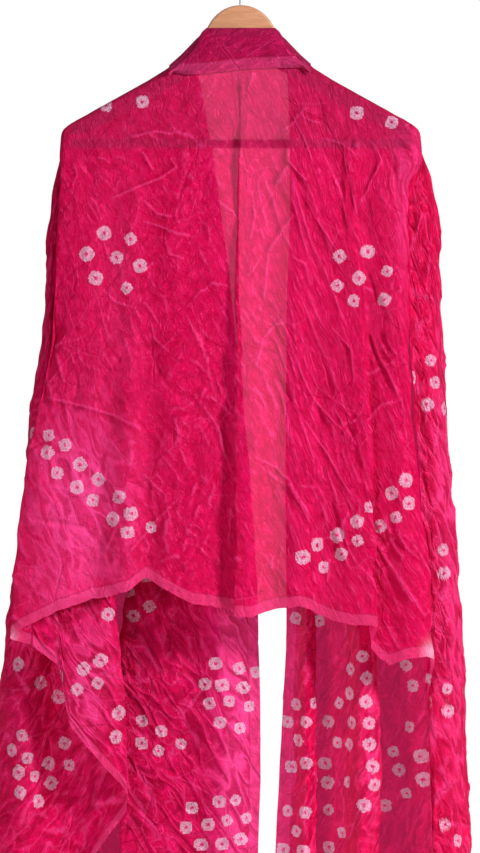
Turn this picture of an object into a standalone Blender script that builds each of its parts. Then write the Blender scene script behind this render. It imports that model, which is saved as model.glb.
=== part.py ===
"""Dupatta stole hung over a wooden hanger, seen from the wearer's back.

The origin is where the hook's inner top rests on a rail. +Z is up, -Y is the wearer's back, which the viewer
sees, and the two ends of the cloth hang on the +Y side. Tables are in millimetres, and the parts are made in
metres.
"""

import math
from collections import namedtuple

import bmesh
import bpy
import numpy as np
from mathutils import Matrix

MM = 0.001

# Cloth
WALL = 1.2                  # thickness of one layer
HEM_WALL = 2.0              # thickness where the hem is turned
HEM_BAND = 14.0             # height of the turned hem
SEAM = 0.4                  # gap between two stretches
TIP_APART = 0.55            # more than that on each side over an arm's tip
SEAM_STEP = 0.1             # the way along the chain at a seam is found over this much of a fold
ARM_WRAP = 8.5              # radius of the cloth's turn over an arm
LANDING = 1.0               # flat strip at the seam on top of an arm
TIP_X = 213.0               # where the fan of cloth over an arm's tip is centred
CLEAR_Z = 262.0             # the cloth keeps outside the arm's tip down to here
CLEAR_X = 1.006             # a fold's x there, as a share of its x where it leaves the arm
CLEAR_Y = 1.05              # the same for y
FALL_SPACING = 18.0         # length of cloth between two columns of a fall
BACK_SPACING = 15.0         # the same on the back stretch
HANG_ROWS = 24              # rows of cloth from the arm to the hem
WRAP_TURNS = (25.0, 50.0, 75.0, 90.0)   # degrees over the arm at which a column has a point
WRAP_ROWS = 2 + len(WRAP_TURNS)

# Neck
NECK_X = 46.0               # half width over which the back stands free of the arms
NECK_BLEND_X = 56.0         # from here outwards the back lies over the arms
NECK_COLUMNS = (-88.0, -56.0, -51.0, -46.0, 46.0, 51.0, 56.0, 86.0)   # x of more columns of the back
NECK_DROP = 3.0             # the back's first rows take this much of its height at the neck
NECK_GAP = 2.0              # between the back's top edge and the collar's first row at the neck

# Collar
COLLAR_ROWS = 6
COLLAR_LIFT = 3.2           # between the middles of the collar's wall and the back's, on a sloping arm
COLLAR_BULGE = 2.5          # how far the collar stands off half way down
COLLAR_TURN = 2.1           # radius of the fold at the neck
COLLAR_LEAST = 4.0          # the collar hangs at least this far below the turn over an arm

# Hanger
HANGER_HALF = 5.6           # half its thickness
HANGER_ROUND = 3.5          # rounding of its edges
WOOD_CLEAR = 1.4            # from the middle of the cloth's wall straight to the wood on top of an arm
BAR_Z = 245.5
BAR_RADIUS = 5.4
BAR_END_X = 206.7
HOOK_WIRE = 1.75            # radius of the wire
HOOK_RADIUS = 19.75         # radius of the hook's centre line
HOOK_FOOT_Z = 74.7          # the wire stands on the wood here
HOOK_STEM_Z = 52.0          # the stem is straight up to here
HOOK_BEND = ((0.0, -8.0), (0.0, 0.0), (2.0, 5.0), (7.0, 11.5))   # x and height of the bend from there
HOOK_ARC = range(-48, 206, 11)          # degrees round the hook at which its line has a point

# Depths below the hook's rest at which the fold tables give a place for each fold
LEVELS = (300, 480, 660, 840, 1010, 1140, 1270)

# The line over the top of each arm: distance from the centre, depth below the hook's rest
Ridge = namedtuple("Ridge", "x depth")
RIDGE = (
    Ridge(0, 106), Ridge(42, 106), Ridge(48, 111), Ridge(60, 124), Ridge(74, 138.5), Ridge(90, 152.5),
    Ridge(114, 167.5), Ridge(150, 187.5), Ridge(178, 203), Ridge(199, 215.5), Ridge(216, 227),
    Ridge(226, 235),
)

# A row for each fold line, in order round the cloth. "ridge" is its x on top of the arm, "rest" its x
# where it leaves the arm and "turn" the way it leaves it, in degrees: 90 and 450 on +Y, 270 on -Y, and 180
# and 360 over a tip. "hem" is the depth at which it ends, and "x" and "y" its places at LEVELS.
Fold = namedtuple("Fold", "name ridge rest turn hem x y")

LEFT_FOLDS = (
    Fold("opening edge", -57, -57, 90, 1262, (-28, -6, 12, 22, 25, 21, 19), (14, 24, 30, 34, 36, 34, 32)),
    Fold("near face", -66, -66, 90, 1266, (-47, -32, -16, -6, -4, -6, -9), (12, 19, 24, 26, 27, 26, 25)),
    Fold("near valley", -80, -80, 90, 1270,
         (-73, -65, -57, -54, -53, -55, -58), (13, 23, 30, 35, 37, 35, 33)),
    Fold("near turn", -96, -96, 90, 1272,
         (-102, -103, -106, -112, -117, -122, -124), (14, 24, 30, 34, 36, 34, 32)),
    Fold("middle layer", -106, -106, 90, 1270,
         (-101, -90, -82, -75, -75, -77, -80), (22, 39, 49, 56, 58, 56, 54)),
    Fold("far turn", -118, -118, 90, 1268,
         (-103, -80, -50, -26, -21, -23, -26), (29, 50, 62, 68, 70, 68, 66)),
    Fold("far layer", -132, -132, 90, 1270,
         (-114, -102, -87, -75, -75, -77, -80), (33, 58, 74, 81, 83, 81, 79)),
    Fold("far dip", -144, -144, 90, 1268,
         (-132, -126, -120, -116, -118, -122, -127), (29, 48, 60, 65, 67, 66, 65)),
    Fold("far ridge", -160, -160, 90, 1274,
         (-155, -157, -162, -166, -172, -178, -184), (31, 56, 72, 80, 83, 83, 81)),
    Fold("far fold", -174, -174, 90, 1270,
         (-176, -183, -192, -202, -210, -216, -222), (27, 45, 57, 61, 64, 64, 63)),
    Fold("far side", -190, -190, 90, 1272,
         (-200, -212, -226, -245, -258, -264, -270), (25, 44, 57, 66, 70, 70, 68)),
    Fold("outer turn", -203, -213, 100, 1270,
         (-233, -250, -268, -292, -306, -318, -325), (14, 24, 32, 36, 40, 42, 42)),
    Fold("outer flute", -206, -213, 116, 1258,
         (-228, -237, -250, -264, -267, -273, -279), (4, 5, 7, 10, 13, 14, 14)),
    Fold("dark valley", -208, -213, 130, 1205,
         (-218, -221, -225, -226, -225, -227, -230), (7, 15, 22, 27, 30, 30, 30)),
    Fold("under layer", -210, -213, 143, 1116,
         (-209, -198, -188, -181, -173, -176, -178), (4, 6, 9, 13, 17, 19, 19)),
    Fold("inner turn", -211, -213, 156, 1050,
         (-204, -182, -166, -152, -138, -136, -136), (0, -2, -3, -2, 2, 5, 5)),
    Fold("cascade face", -212, -213, 167, 1010,
         (-209, -196, -188, -180, -168, -166, -166), (-4, -9, -13, -15, -14, -12, -12)),
    Fold("cascade side", -212.5, -213, 175, 960,
         (-214, -210, -213, -213, -207, -205, -205), (-5, -10, -15, -17, -17, -16, -16)),
    Fold("cascade corner", -212.8, -213, 181, 884,
         (-216, -218, -224, -224, -220, -218, -218), (-5, -11, -16, -18, -18, -18, -18)),
)
LEFT_SEAM = Fold("left seam", -213, -213, 189, 862,
                 (-218, -226, -242, -254, -258, -260, -260), (-6, -12, -17, -20, -20, -20, -20))
BACK_FOLDS = (
    Fold("left side fold", -211, -213, 212, 852,
         (-221, -234, -265, -281, -286, -288, -290), (-8, -16, -22, -27, -27, -27, -27)),
    Fold("left roll", -206, -213, 245, 838,
         (-210, -221, -250, -262, -266, -268, -270), (-11, -21, -29, -35, -35, -35, -35)),
    Fold("left ridge", -188, -190, 270, 815,
         (-186, -193, -210, -220, -222, -222, -222), (-12, -24, -33, -38, -38, -38, -38)),
    Fold("left hollow", -163, -163, 270, 803,
         (-159, -164, -171, -176, -177, -177, -177), (-11, -21, -28, -30, -30, -30, -30)),
    Fold("left wave", -133, -133, 270, 793,
         (-130, -133, -137, -137, -137, -137, -137), (-12, -25, -35, -42, -42, -42, -42)),
    Fold("hem arch", -111, -111, 270, 778,
         (-109, -112, -114, -116, -116, -116, -116), (-11, -21, -27, -30, -30, -30, -30)),
    Fold("blade", -90, -90, 270, 792,
         (-87, -87, -87, -87, -87, -87, -87), (-12, -24, -32, -36, -36, -36, -36)),
    Fold("mid left", -62, -62, 270, 811,
         (-60, -58, -57, -55, -55, -55, -55), (-12, -23, -31, -37, -37, -37, -37)),
    Fold("spine hollow", -36, -36, 270, 814,
         (-33, -29, -28, -28, -28, -28, -28), (-12, -21, -27, -30, -30, -30, -30)),
    Fold("spine left", -12, -12, 270, 817, (-9, -9, -9, -9, -9, -9, -9), (-12, -21, -26, -29, -29, -29, -29)),
    Fold("spine under", -4, -4, 270, 818, (-2, 1, 5, 7, 7, 7, 7), (-12, -23, -29, -32, -32, -32, -32)),
    Fold("spine crease", 1, 1, 270, 823,
         (-2, -5, -6, -10, -10, -10, -10), (-14, -28, -36, -41, -41, -41, -41)),
    Fold("spine ridge", 9, 9, 270, 824, (8, 9, 10, 10, 10, 10, 10), (-15, -30, -40, -46, -46, -46, -46)),
    Fold("mid right", 36, 36, 270, 817, (33, 36, 38, 38, 38, 38, 38), (-12, -23, -31, -35, -35, -35, -35)),
    Fold("right wave", 66, 66, 270, 812, (65, 68, 70, 71, 71, 71, 71), (-13, -27, -36, -42, -42, -42, -42)),
    Fold("right hollow", 92, 92, 270, 824,
         (90, 95, 98, 100, 100, 100, 100), (-11, -21, -28, -31, -31, -31, -31)),
    Fold("right blade", 126, 126, 270, 833,
         (122, 127, 130, 132, 132, 132, 132), (-12, -25, -34, -40, -40, -40, -40)),
    Fold("step edge", 146, 146, 270, 838,
         (143, 153, 161, 167, 168, 168, 168), (-12, -24, -34, -41, -41, -41, -41)),
    Fold("step under", 156, 156, 270, 862,
         (149, 155, 157, 159, 160, 160, 160), (-10, -20, -25, -29, -29, -29, -29)),
    Fold("step out", 172, 172, 270, 883,
         (163, 168, 175, 180, 182, 182, 182), (-11, -21, -27, -30, -30, -30, -30)),
    Fold("right ridge", 190, 192, 270, 875,
         (182, 187, 196, 206, 208, 208, 208), (-12, -24, -33, -38, -38, -38, -38)),
    Fold("right roll", 206, 213, 295, 874,
         (195, 198, 210, 225, 230, 232, 234), (-11, -22, -29, -34, -34, -34, -34)),
    Fold("right side fold", 211, 213, 328, 878,
         (203, 205, 219, 234, 239, 242, 244), (-8, -16, -22, -27, -27, -27, -27)),
)
RIGHT_SEAM = Fold("right seam", 213, 213, 351, 898,
                  (206, 207, 218, 232, 234, 234, 234), (-5, -11, -15, -18, -18, -18, -18))
RIGHT_FOLDS = (
    Fold("flute turn", 212.6, 213, 362, 935,
         (211, 212, 218, 228, 229, 227, 226), (-2, -5, -7, -9, -8, -8, -8)),
    Fold("flute edge", 212, 213, 372, 1150,
         (217, 221, 228, 238, 238, 236, 235), (-2, -4, -6, -8, -8, -8, -8)),
    Fold("flute face", 210, 213, 386, 1258, (227, 237, 246, 257, 260, 260, 260), (0, -1, -3, -4, -4, -4, -4)),
    Fold("right outer turn", 206, 213, 418, 1268,
         (236, 252, 263, 276, 284, 289, 292), (11, 19, 25, 27, 29, 30, 30)),
    Fold("right far side", 196, 208, 444, 1272,
         (196, 211, 228, 246, 252, 255, 257), (24, 45, 56, 61, 63, 63, 62)),
    Fold("right far dip", 184, 186, 450, 1268,
         (180, 190, 205, 222, 229, 232, 234), (24, 41, 51, 53, 54, 54, 54)),
    Fold("dark layer", 172, 172, 450, 1270,
         (160, 167, 178, 193, 198, 200, 202), (28, 50, 63, 69, 71, 71, 69)),
    Fold("under ridge", 154, 154, 450, 1268,
         (140, 138, 141, 149, 151, 149, 146), (24, 42, 50, 54, 55, 54, 52)),
    Fold("ridge turn", 141, 141, 450, 1266,
         (138, 145, 154, 166, 172, 170, 168), (15, 21, 22, 20, 18, 18, 18)),
    Fold("bright ridge", 128, 128, 450, 1268, (125, 129, 135, 146, 148, 149, 150), (12, 15, 15, 11, 9, 9, 9)),
    Fold("soft slope", 113, 113, 450, 1272,
         (110, 112, 116, 124, 127, 128, 129), (18, 28, 32, 33, 34, 34, 34)),
    Fold("valley", 99, 99, 450, 1270, (95, 95, 97, 100, 100, 100, 100), (22, 37, 45, 49, 51, 51, 50)),
    Fold("under pale ridge", 89, 89, 450, 1268, (86, 83, 81, 81, 80, 78, 75), (20, 34, 41, 45, 47, 47, 45)),
    Fold("pale turn", 81, 81, 450, 1266, (84, 86, 88, 90, 92, 91, 90), (14, 21, 24, 25, 25, 25, 25)),
    Fold("pale ridge", 73, 73, 450, 1264, (77, 77, 78, 80, 81, 79, 77), (10, 14, 16, 17, 17, 17, 17)),
    Fold("right near face", 65, 65, 450, 1264, (69, 67, 67, 68, 64, 60, 58), (13, 21, 27, 30, 31, 31, 30)),
    Fold("right opening edge", 57, 57, 450, 1262, (61, 56, 55, 56, 48, 42, 38), (15, 25, 33, 37, 39, 37, 35)),
)
CHAIN = LEFT_FOLDS + (LEFT_SEAM,) + BACK_FOLDS + (RIGHT_SEAM,) + RIGHT_FOLDS
LEFT_SEAM_AT = len(LEFT_FOLDS)
RIGHT_SEAM_AT = LEFT_SEAM_AT + 1 + len(BACK_FOLDS)

# The collar's free edge: x, depth below the hook's rest
Edge = namedtuple("Edge", "x depth")
COLLAR_EDGE = (
    Edge(-88, 158), Edge(-65, 161.5), Edge(-42, 160), Edge(-5, 155.5), Edge(26, 153.5), Edge(86, 153),
)

# The wood's outline on the right side, from the top of the dome round to the middle of the underside
Outline = namedtuple("Outline", "x depth")
DOME = (
    Outline(0, 75), Outline(9, 76), Outline(19, 79.5), Outline(28, 85.5), Outline(36, 94), Outline(42, 104),
)
ARM_TIP = (
    Outline(213.5, 229), Outline(217, 233), Outline(218.5, 240), Outline(218, 249), Outline(214.5, 254.5),
    Outline(210, 255), Outline(207, 252), Outline(207, 238.8),
)
UNDERSIDE = (
    Outline(198, 235.5), Outline(158, 218.5), Outline(110, 192), Outline(60, 162), Outline(28, 142),
    Outline(0, 136),
)

COLOURS = {
    "silk": ((0.80, 0.02, 0.20, 1.0), 0.45, 0.0),
    "wood": ((0.55, 0.33, 0.16, 1.0), 0.50, 0.0),
    "steel": ((0.70, 0.70, 0.72, 1.0), 0.25, 1.0),
}


def curve_through(knots, values, at):
    """Smooth curve through values at rising knots, with no swing past them, held level past both ends."""
    knots = np.asarray(knots, float)
    values = np.asarray(values, float)
    at = np.clip(at, knots[0], knots[-1])
    steps = np.diff(knots)
    rises = np.diff(values) / steps
    slopes = np.empty(len(knots))
    slopes[0], slopes[-1] = rises[0], rises[-1]
    for k in range(1, len(rises)):
        before, after = rises[k - 1], rises[k]
        near, far = 2 * steps[k] + steps[k - 1], steps[k] + 2 * steps[k - 1]
        slopes[k] = (near + far) / (near / before + far / after) if before * after > 0 else 0.0
    i = np.clip(np.searchsorted(knots, at, side="right") - 1, 0, len(steps) - 1)
    f = (at - knots[i]) / steps[i]
    return (
        values[i] * (1 + 2 * f) * (1 - f) ** 2
        + values[i + 1] * f * f * (3 - 2 * f)
        + slopes[i] * steps[i] * f * (1 - f) ** 2
        - slopes[i + 1] * steps[i] * f * f * (1 - f)
    )


def ridge_depth(x):
    """Depth of the cloth on top of the arm, x from the centre."""
    return float(np.interp(abs(x), [r.x for r in RIDGE], [r.depth for r in RIDGE]))


def blend(x, low, high):
    """0 below low, 1 above high, and smooth between."""
    f = min(max((x - low) / (high - low), 0.0), 1.0)
    return f * f * (3 - 2 * f)


def along(column, at):
    """One column of the fold table at a place along the chain of folds."""
    i = min(int(at), len(CHAIN) - 2)
    f = at - i
    return getattr(CHAIN[i], column) * (1 - f) + getattr(CHAIN[i + 1], column) * f


def arm_edge(at):
    """Where the cloth leaves the arm: x, y and depth."""
    turn = math.radians(along("turn", at))
    x = along("rest", at) + ARM_WRAP * math.cos(turn)
    fall = NECK_DROP + (ARM_WRAP - NECK_DROP) * on_arm(at)
    return x, ARM_WRAP * math.sin(turn), ridge_depth(x) + fall


def fold_line(k, depth):
    """Places of fold k at some depths: one row of x and y for each."""
    fold = CHAIN[k]
    x, y, start = arm_edge(float(k))
    clear = max(CLEAR_Z, start + 1)
    knots = (start, clear) + LEVELS
    xs = curve_through(knots, (x, x * CLEAR_X) + fold.x, depth)
    ys = curve_through(knots, (y, y * CLEAR_Y) + fold.y, depth)
    return np.stack([xs, ys], axis=-1)


def section(at, depth):
    """Places on the cloth at one place along the chain and some depths."""
    i = min(int(at), len(CHAIN) - 2)
    f = at - i
    near = [fold_line(min(max(k, 0), len(CHAIN) - 1), depth) for k in (i - 1, i, i + 1, i + 2)]
    span = [np.linalg.norm(b - a, axis=-1, keepdims=True) + 1e-6 for a, b in zip(near, near[1:])]
    way = [(b - a) / s for a, b, s in zip(near, near[1:], span)]
    leave = (way[0] * span[1] + way[1] * span[0]) / (span[0] + span[1]) if i else way[1]
    last = i == len(CHAIN) - 2
    arrive = way[1] if last else (way[1] * span[2] + way[2] * span[1]) / (span[1] + span[2])
    return (
        near[1] * (1 + 2 * f) * (1 - f) ** 2
        + near[2] * f * f * (3 - 2 * f)
        + leave * span[1] * f * (1 - f) ** 2
        - arrive * span[1] * f * f * (1 - f)
    )


def on_arm(at):
    """0 where the back stands free at the neck, 1 where it lies over an arm."""
    return blend(abs(along("ridge", at)), NECK_X, NECK_BLEND_X)


def mixed(first, second, share):
    """Two lists of places, mixed: all of the second where share is 1."""
    return [tuple(a * (1 - share) + b * share for a, b in zip(p, q)) for p, q in zip(first, second)]


def wrap_points(at, lift=0.0):
    """Places from the seam on top of the arm down to where the cloth hangs, moved out by lift."""
    x_top = along("ridge", at)
    x_end, y_end, depth_end = arm_edge(at)
    depth_top = ridge_depth(x_top)
    reach = math.hypot(x_end - x_top, y_end)
    arm = []
    for s in (SEAM / 2 / reach, LANDING / reach):
        arm.append((x_top + (x_end - x_top) * s, y_end * s, depth_top - lift))
    for turn in WRAP_TURNS:
        s, c = math.sin(math.radians(turn)), math.cos(math.radians(turn))
        x = x_top + (x_end - x_top) * s
        depth = depth_top + (ridge_depth(x_end) + ARM_WRAP - depth_top) * (1 - c)
        arm.append((x, y_end * s * (1 + lift / ARM_WRAP), depth - lift * c))
    free = np.linspace(depth_top, depth_end, len(arm))
    neck = [(x_end, y_end, depth) for depth in free]
    return mixed(neck, arm, on_arm(at))


def column_points(at, rows):
    """All places of one column of cloth, from the seam on the arm down to the hem."""
    side = -1 if LEFT_SEAM_AT < at < RIGHT_SEAM_AT else 1
    apart = SEAM / 2 + TIP_APART * abs(math.cos(math.radians(along("turn", at))))
    offs = np.linspace(apart, SEAM / 2, WRAP_ROWS)
    top = [(x, y + side * off, depth) for (x, y, depth), off in zip(wrap_points(at), offs)]
    hem = along("hem", at)
    start = top[-1][2]
    depths = np.linspace(start, hem - HEM_BAND - 1, rows)[1:]
    depths = np.concatenate([depths, [hem - HEM_BAND, hem]])
    hang = section(at, depths)
    return top + [(x, y + side * SEAM / 2, d) for (x, y), d in zip(hang, depths)]


def seam_column(at, step, rows):
    """A column half the seam's gap to one side of a place on the chain; step says which side."""
    here, there = np.array(column_points(at + step / 100, rows)), np.array(column_points(at + step, rows))
    way = there - here
    way[:, 2] = 0.0
    return here + way / np.linalg.norm(way, axis=1, keepdims=True) * SEAM / 2


def chain_places(first, last, spacing, steps=40, depth=700.0):
    """Places along the chain between two folds, spaced evenly on the cloth, with every fold kept."""
    places = [first]
    for k in range(int(first), int(math.ceil(last))):
        low, high = max(first, k), min(last, k + 1)
        fine = np.linspace(low, high, steps + 1)[:-1].tolist() + [high]
        line = np.array([section(at, np.array([depth]))[0] for at in fine])
        length = np.linalg.norm(np.diff(line, axis=0), axis=1).sum()
        count = max(1, round(length / spacing))
        places += [low + (high - low) * (n + 1) / count for n in range(count)]
    return places


def beside(at, gap, depth=600.0):
    """The place along the chain that is gap millimetres from another."""
    step = 0.01 if gap > 0 else -0.01
    here, there = section(at, np.array([depth]))[0], section(at + step, np.array([depth]))[0]
    return at + step * abs(gap) / np.linalg.norm(there - here)


def material(name):
    """A plain material from COLOURS."""
    colour, rough, metal = COLOURS[name]
    made = bpy.data.materials.get(name) or bpy.data.materials.new(name)
    made.use_nodes = True
    shader = made.node_tree.nodes["Principled BSDF"]
    shader.inputs["Base Color"].default_value = colour
    shader.inputs["Roughness"].default_value = rough
    shader.inputs["Metallic"].default_value = metal
    return made


def add_object(name, data, finish, collection):
    """Link a new object with its own material."""
    made = bpy.data.objects.new(name, data)
    collection.objects.link(made)
    own = material(finish).copy()
    own.name = name + "_" + finish
    data.materials.append(own)
    return made


def thicken(sheet, thick_points):
    """Give an open sheet its wall, thicker at the hems."""
    group = sheet.vertex_groups.new(name="hem")
    group.add(range(len(sheet.data.vertices)), WALL / HEM_WALL, "REPLACE")
    group.add(thick_points, 1.0, "REPLACE")
    wall = sheet.modifiers.new("wall", "SOLIDIFY")
    wall.thickness = HEM_WALL * MM
    wall.offset = 0.0
    wall.use_even_offset = True
    wall.vertex_group = "hem"
    wall.thickness_vertex_group = 0.0


def make_sheet(name, columns, hem_columns, collection, hem_rows=2):
    """A cloth wall from columns of places, with hems in its last rows and in some columns."""
    rows = len(columns[0])
    mesh = bpy.data.meshes.new(name)
    grid = bmesh.new()
    bmesh.ops.create_grid(grid, x_segments=len(columns) - 1, y_segments=rows - 1, size=1.0)
    grid.verts.ensure_lookup_table()
    thick = []
    for vertex in grid.verts:
        column = round((vertex.co.x + 1) / 2 * (len(columns) - 1))
        row = round((vertex.co.y + 1) / 2 * (rows - 1))
        x, y, depth = columns[column][row]
        vertex.co = (x * MM, y * MM, -depth * MM)
        if row >= rows - hem_rows or (column in hem_columns and row >= WRAP_ROWS):
            thick.append(vertex.index)
    bmesh.ops.recalc_face_normals(grid, faces=grid.faces)
    for face in grid.faces:
        face.smooth = True
    grid.to_mesh(mesh)
    grid.free()
    sheet = add_object(name, mesh, "silk", collection)
    thicken(sheet, thick)
    return sheet


def make_stretch(name, places, rows, hem_columns, collection):
    """One stretch of the cloth between two places along the chain."""
    columns = [column_points(at, rows) for at in places]
    if places[0] == int(places[0]) != 0:
        columns[0] = seam_column(places[0], SEAM_STEP, rows)
    if places[-1] == int(places[-1]) != len(CHAIN) - 1:
        columns[-1] = seam_column(places[-1], -SEAM_STEP, rows)
    return make_sheet(name, columns, hem_columns, collection)


def collar_column(at):
    """Places of one column of the collar, from its fold or the arm's top to its free edge."""
    arm = wrap_points(at, COLLAR_LIFT)
    x, y, depth = wrap_points(at)[0]
    turns = [math.pi * n / (len(arm) - 1) for n in range(len(arm))]
    start = depth - NECK_GAP
    neck = [(x, y - COLLAR_TURN * (1 - math.cos(t)), start - COLLAR_TURN * math.sin(t)) for t in turns]
    top = mixed(neck, arm, on_arm(at))
    free = float(np.interp(x, [e.x for e in COLLAR_EDGE], [e.depth for e in COLLAR_EDGE]))
    free = max(free, top[-1][2] + COLLAR_LEAST)
    hem = min(HEM_BAND, (free - top[-1][2]) / 2)
    depths = np.linspace(top[-1][2], free - hem, COLLAR_ROWS)[1:]
    depths = np.append(depths, free)
    hang = []
    for place, under in zip(depths, section(at, depths)):
        share = (place - top[-1][2]) / (free - top[-1][2])
        off = COLLAR_LIFT * share + COLLAR_TURN * 2 * (1 - share) + COLLAR_BULGE * math.sin(math.pi * share)
        hang.append((under[0], under[1] - off, place))
    return top + hang


def ridge_place(x):
    """The place along the chain of the back fold that crosses the arm's top at x."""
    ks = range(LEFT_SEAM_AT, RIGHT_SEAM_AT + 1)
    return float(np.interp(x, [CHAIN[k].ridge for k in ks], list(ks)))


def make_collar(back, collection):
    """The upper long edge, turned over toward the viewer: columns of the back, moved out."""
    low, high = COLLAR_EDGE[0].x, COLLAR_EDGE[-1].x
    places = [at for at in back if low <= along("ridge", at) <= high]
    make_sheet("collar_turnover", [collar_column(at) for at in places], (), collection)


def make_cloth(collection):
    """The four stretches of cloth."""
    left = chain_places(0, LEFT_SEAM_AT, FALL_SPACING)
    left = sorted(left + [beside(0, HEM_BAND - 1), beside(0, HEM_BAND)])
    make_stretch("left_fall", left, HANG_ROWS, (0, 1), collection)
    back = chain_places(LEFT_SEAM_AT, RIGHT_SEAM_AT, BACK_SPACING)
    back = sorted(back + [ridge_place(x) for x in NECK_COLUMNS])
    make_stretch("back_stretch", back, HANG_ROWS, (), collection)
    make_collar(back, collection)
    last = len(CHAIN) - 1
    right = chain_places(RIGHT_SEAM_AT, last, FALL_SPACING)
    right = sorted(right + [beside(last, 1 - HEM_BAND), beside(last, -HEM_BAND)])
    make_stretch("right_fall", right, HANG_ROWS, (len(right) - 2, len(right) - 1), collection)


def wood_outline():
    """The wood's whole outline, as x and z in millimetres."""
    top = [(p.x, p.depth) for p in DOME]
    for inner, outer in zip(RIDGE, RIDGE[1:]):
        if inner.x > DOME[-1].x and outer.x < TIP_X:
            fall = (outer.depth - inner.depth) / (outer.x - inner.x)
            top.append((inner.x, inner.depth + WOOD_CLEAR * math.hypot(1, fall)))
    right = top + [(p.x, p.depth) for p in ARM_TIP] + [(p.x, p.depth) for p in UNDERSIDE]
    left = [(-x, depth) for x, depth in reversed(right[1:-1])]
    return [(x, -depth) for x, depth in right + left]


def make_hanger_body(collection):
    """The wooden neck and arms: one flat outline with rounded edges."""
    outline = bpy.data.curves.new("hanger_body", "CURVE")
    outline.dimensions = "2D"
    outline.fill_mode = "BOTH"
    outline.extrude = (HANGER_HALF - HANGER_ROUND) * MM
    outline.bevel_depth = HANGER_ROUND * MM
    outline.bevel_resolution = 2
    outline.offset = -HANGER_ROUND * MM
    points = wood_outline()
    line = outline.splines.new("POLY")
    line.points.add(len(points) - 1)
    for point, (x, z) in zip(line.points, points):
        point.co = (x * MM, z * MM, 0.0, 1.0)
    line.use_cyclic_u = True
    made = add_object("hanger_body", outline, "wood", collection)
    made.rotation_euler = (math.pi / 2, 0.0, 0.0)


def make_hanger_bar(collection):
    """The round bar between the arms' tips."""
    mesh = bpy.data.meshes.new("hanger_bar")
    bar = bmesh.new()
    radius = BAR_RADIUS * MM
    length = 2 * BAR_END_X * MM
    bmesh.ops.create_cone(bar, cap_ends=True, segments=24, radius1=radius, radius2=radius, depth=length)
    bmesh.ops.rotate(bar, verts=bar.verts, matrix=Matrix.Rotation(math.pi / 2, 3, "Y"))
    bmesh.ops.translate(bar, verts=bar.verts, vec=(0, 0, -BAR_Z * MM))
    for face in bar.faces:
        face.smooth = len(face.verts) == 4
    bar.to_mesh(mesh)
    bar.free()
    add_object("hanger_bar", mesh, "wood", collection)


def hook_line():
    """The wire's centre line, as x and z in millimetres, from the wood up and round."""
    centre = -(HOOK_RADIUS - HOOK_WIRE)
    points = [(0.0, -HOOK_FOOT_Z)] + [(x, z - HOOK_STEM_Z) for x, z in HOOK_BEND]
    for degrees in HOOK_ARC:
        t = math.radians(degrees)
        points.append((HOOK_RADIUS * math.cos(t), centre + HOOK_RADIUS * math.sin(t)))
    return points


def make_hanger_hook(collection):
    """The bent wire hook."""
    wire = bpy.data.curves.new("hanger_hook", "CURVE")
    wire.dimensions = "3D"
    wire.bevel_depth = HOOK_WIRE * MM
    wire.bevel_resolution = 2
    wire.use_fill_caps = True
    points = hook_line()
    line = wire.splines.new("POLY")
    line.points.add(len(points) - 1)
    for point, (x, z) in zip(line.points, points):
        point.co = (x * MM, 0.0, z * MM, 1.0)
    line.use_smooth = True
    add_object("hanger_hook", wire, "steel", collection)


def main():
    """Build the stole and its hanger."""
    for thing in list(bpy.data.objects):
        bpy.data.objects.remove(thing)
    collection = bpy.data.collections.new("dupatta_stole")
    bpy.context.scene.collection.children.link(collection)
    make_cloth(collection)
    make_hanger_body(collection)
    make_hanger_bar(collection)
    make_hanger_hook(collection)


main()
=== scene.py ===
"""Finished look of a sheer, crinkled silk dupatta stole that hangs over a wooden hanger.

The cloth is one long sheet, worked out from a chain of fold lines, and each stretch of it that shows is a
thin sheet with its own crinkles, creases, tied dots and turned hems. Tables are in millimetres. A depth is
measured down from the place where the hook rests on its rail, -Y is the wearer's back and +Z is up.
"""

from __future__ import annotations

import logging
import math
from dataclasses import dataclass, field
from enum import Enum
from typing import NamedTuple, Sequence, Union

import bmesh
import bpy
import numpy as np
from mathutils import Matrix, Vector

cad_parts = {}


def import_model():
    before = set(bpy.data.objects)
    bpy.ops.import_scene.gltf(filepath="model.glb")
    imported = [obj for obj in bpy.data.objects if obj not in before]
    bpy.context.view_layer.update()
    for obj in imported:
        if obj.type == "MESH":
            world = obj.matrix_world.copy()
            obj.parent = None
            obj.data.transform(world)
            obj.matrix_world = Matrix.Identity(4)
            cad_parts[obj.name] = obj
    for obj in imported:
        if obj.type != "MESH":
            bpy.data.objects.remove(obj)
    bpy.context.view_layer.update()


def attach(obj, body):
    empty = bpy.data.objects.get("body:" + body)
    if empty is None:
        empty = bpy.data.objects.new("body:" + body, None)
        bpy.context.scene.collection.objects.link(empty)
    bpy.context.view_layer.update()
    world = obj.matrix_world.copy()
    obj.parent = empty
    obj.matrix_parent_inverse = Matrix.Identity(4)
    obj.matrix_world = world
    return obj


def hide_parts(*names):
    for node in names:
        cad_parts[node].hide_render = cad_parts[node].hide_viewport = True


LOG = logging.getLogger("dupatta_stole")
MM = 0.001

Colour = tuple[float, float, float, float]
Socket = bpy.types.NodeSocket
Value = Union[Socket, Colour, tuple[float, float, float], float]


class Fold(NamedTuple):
    """A fold line: its x on top of the arm, where it leaves the arm, its hem and its places at LEVELS."""

    name: str
    ridge: float
    rest: float
    turn: float
    hem: float
    x: tuple[float, ...]
    y: tuple[float, ...]


class Place(NamedTuple):
    """A place seen from behind: x from the middle and depth below the hook's rest."""

    x: float
    depth: float


class Crease(NamedTuple):
    """A crease in the cloth: the places it runs through, how proud it stands and how wide it is."""

    line: tuple[tuple[float, float], ...]
    height: float
    width: float


class Ripple(NamedTuple):
    """One layer of crinkles: its height, its usual width and length, and its table of random numbers."""

    height: float
    wide: float
    long: float
    salt: int


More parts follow.
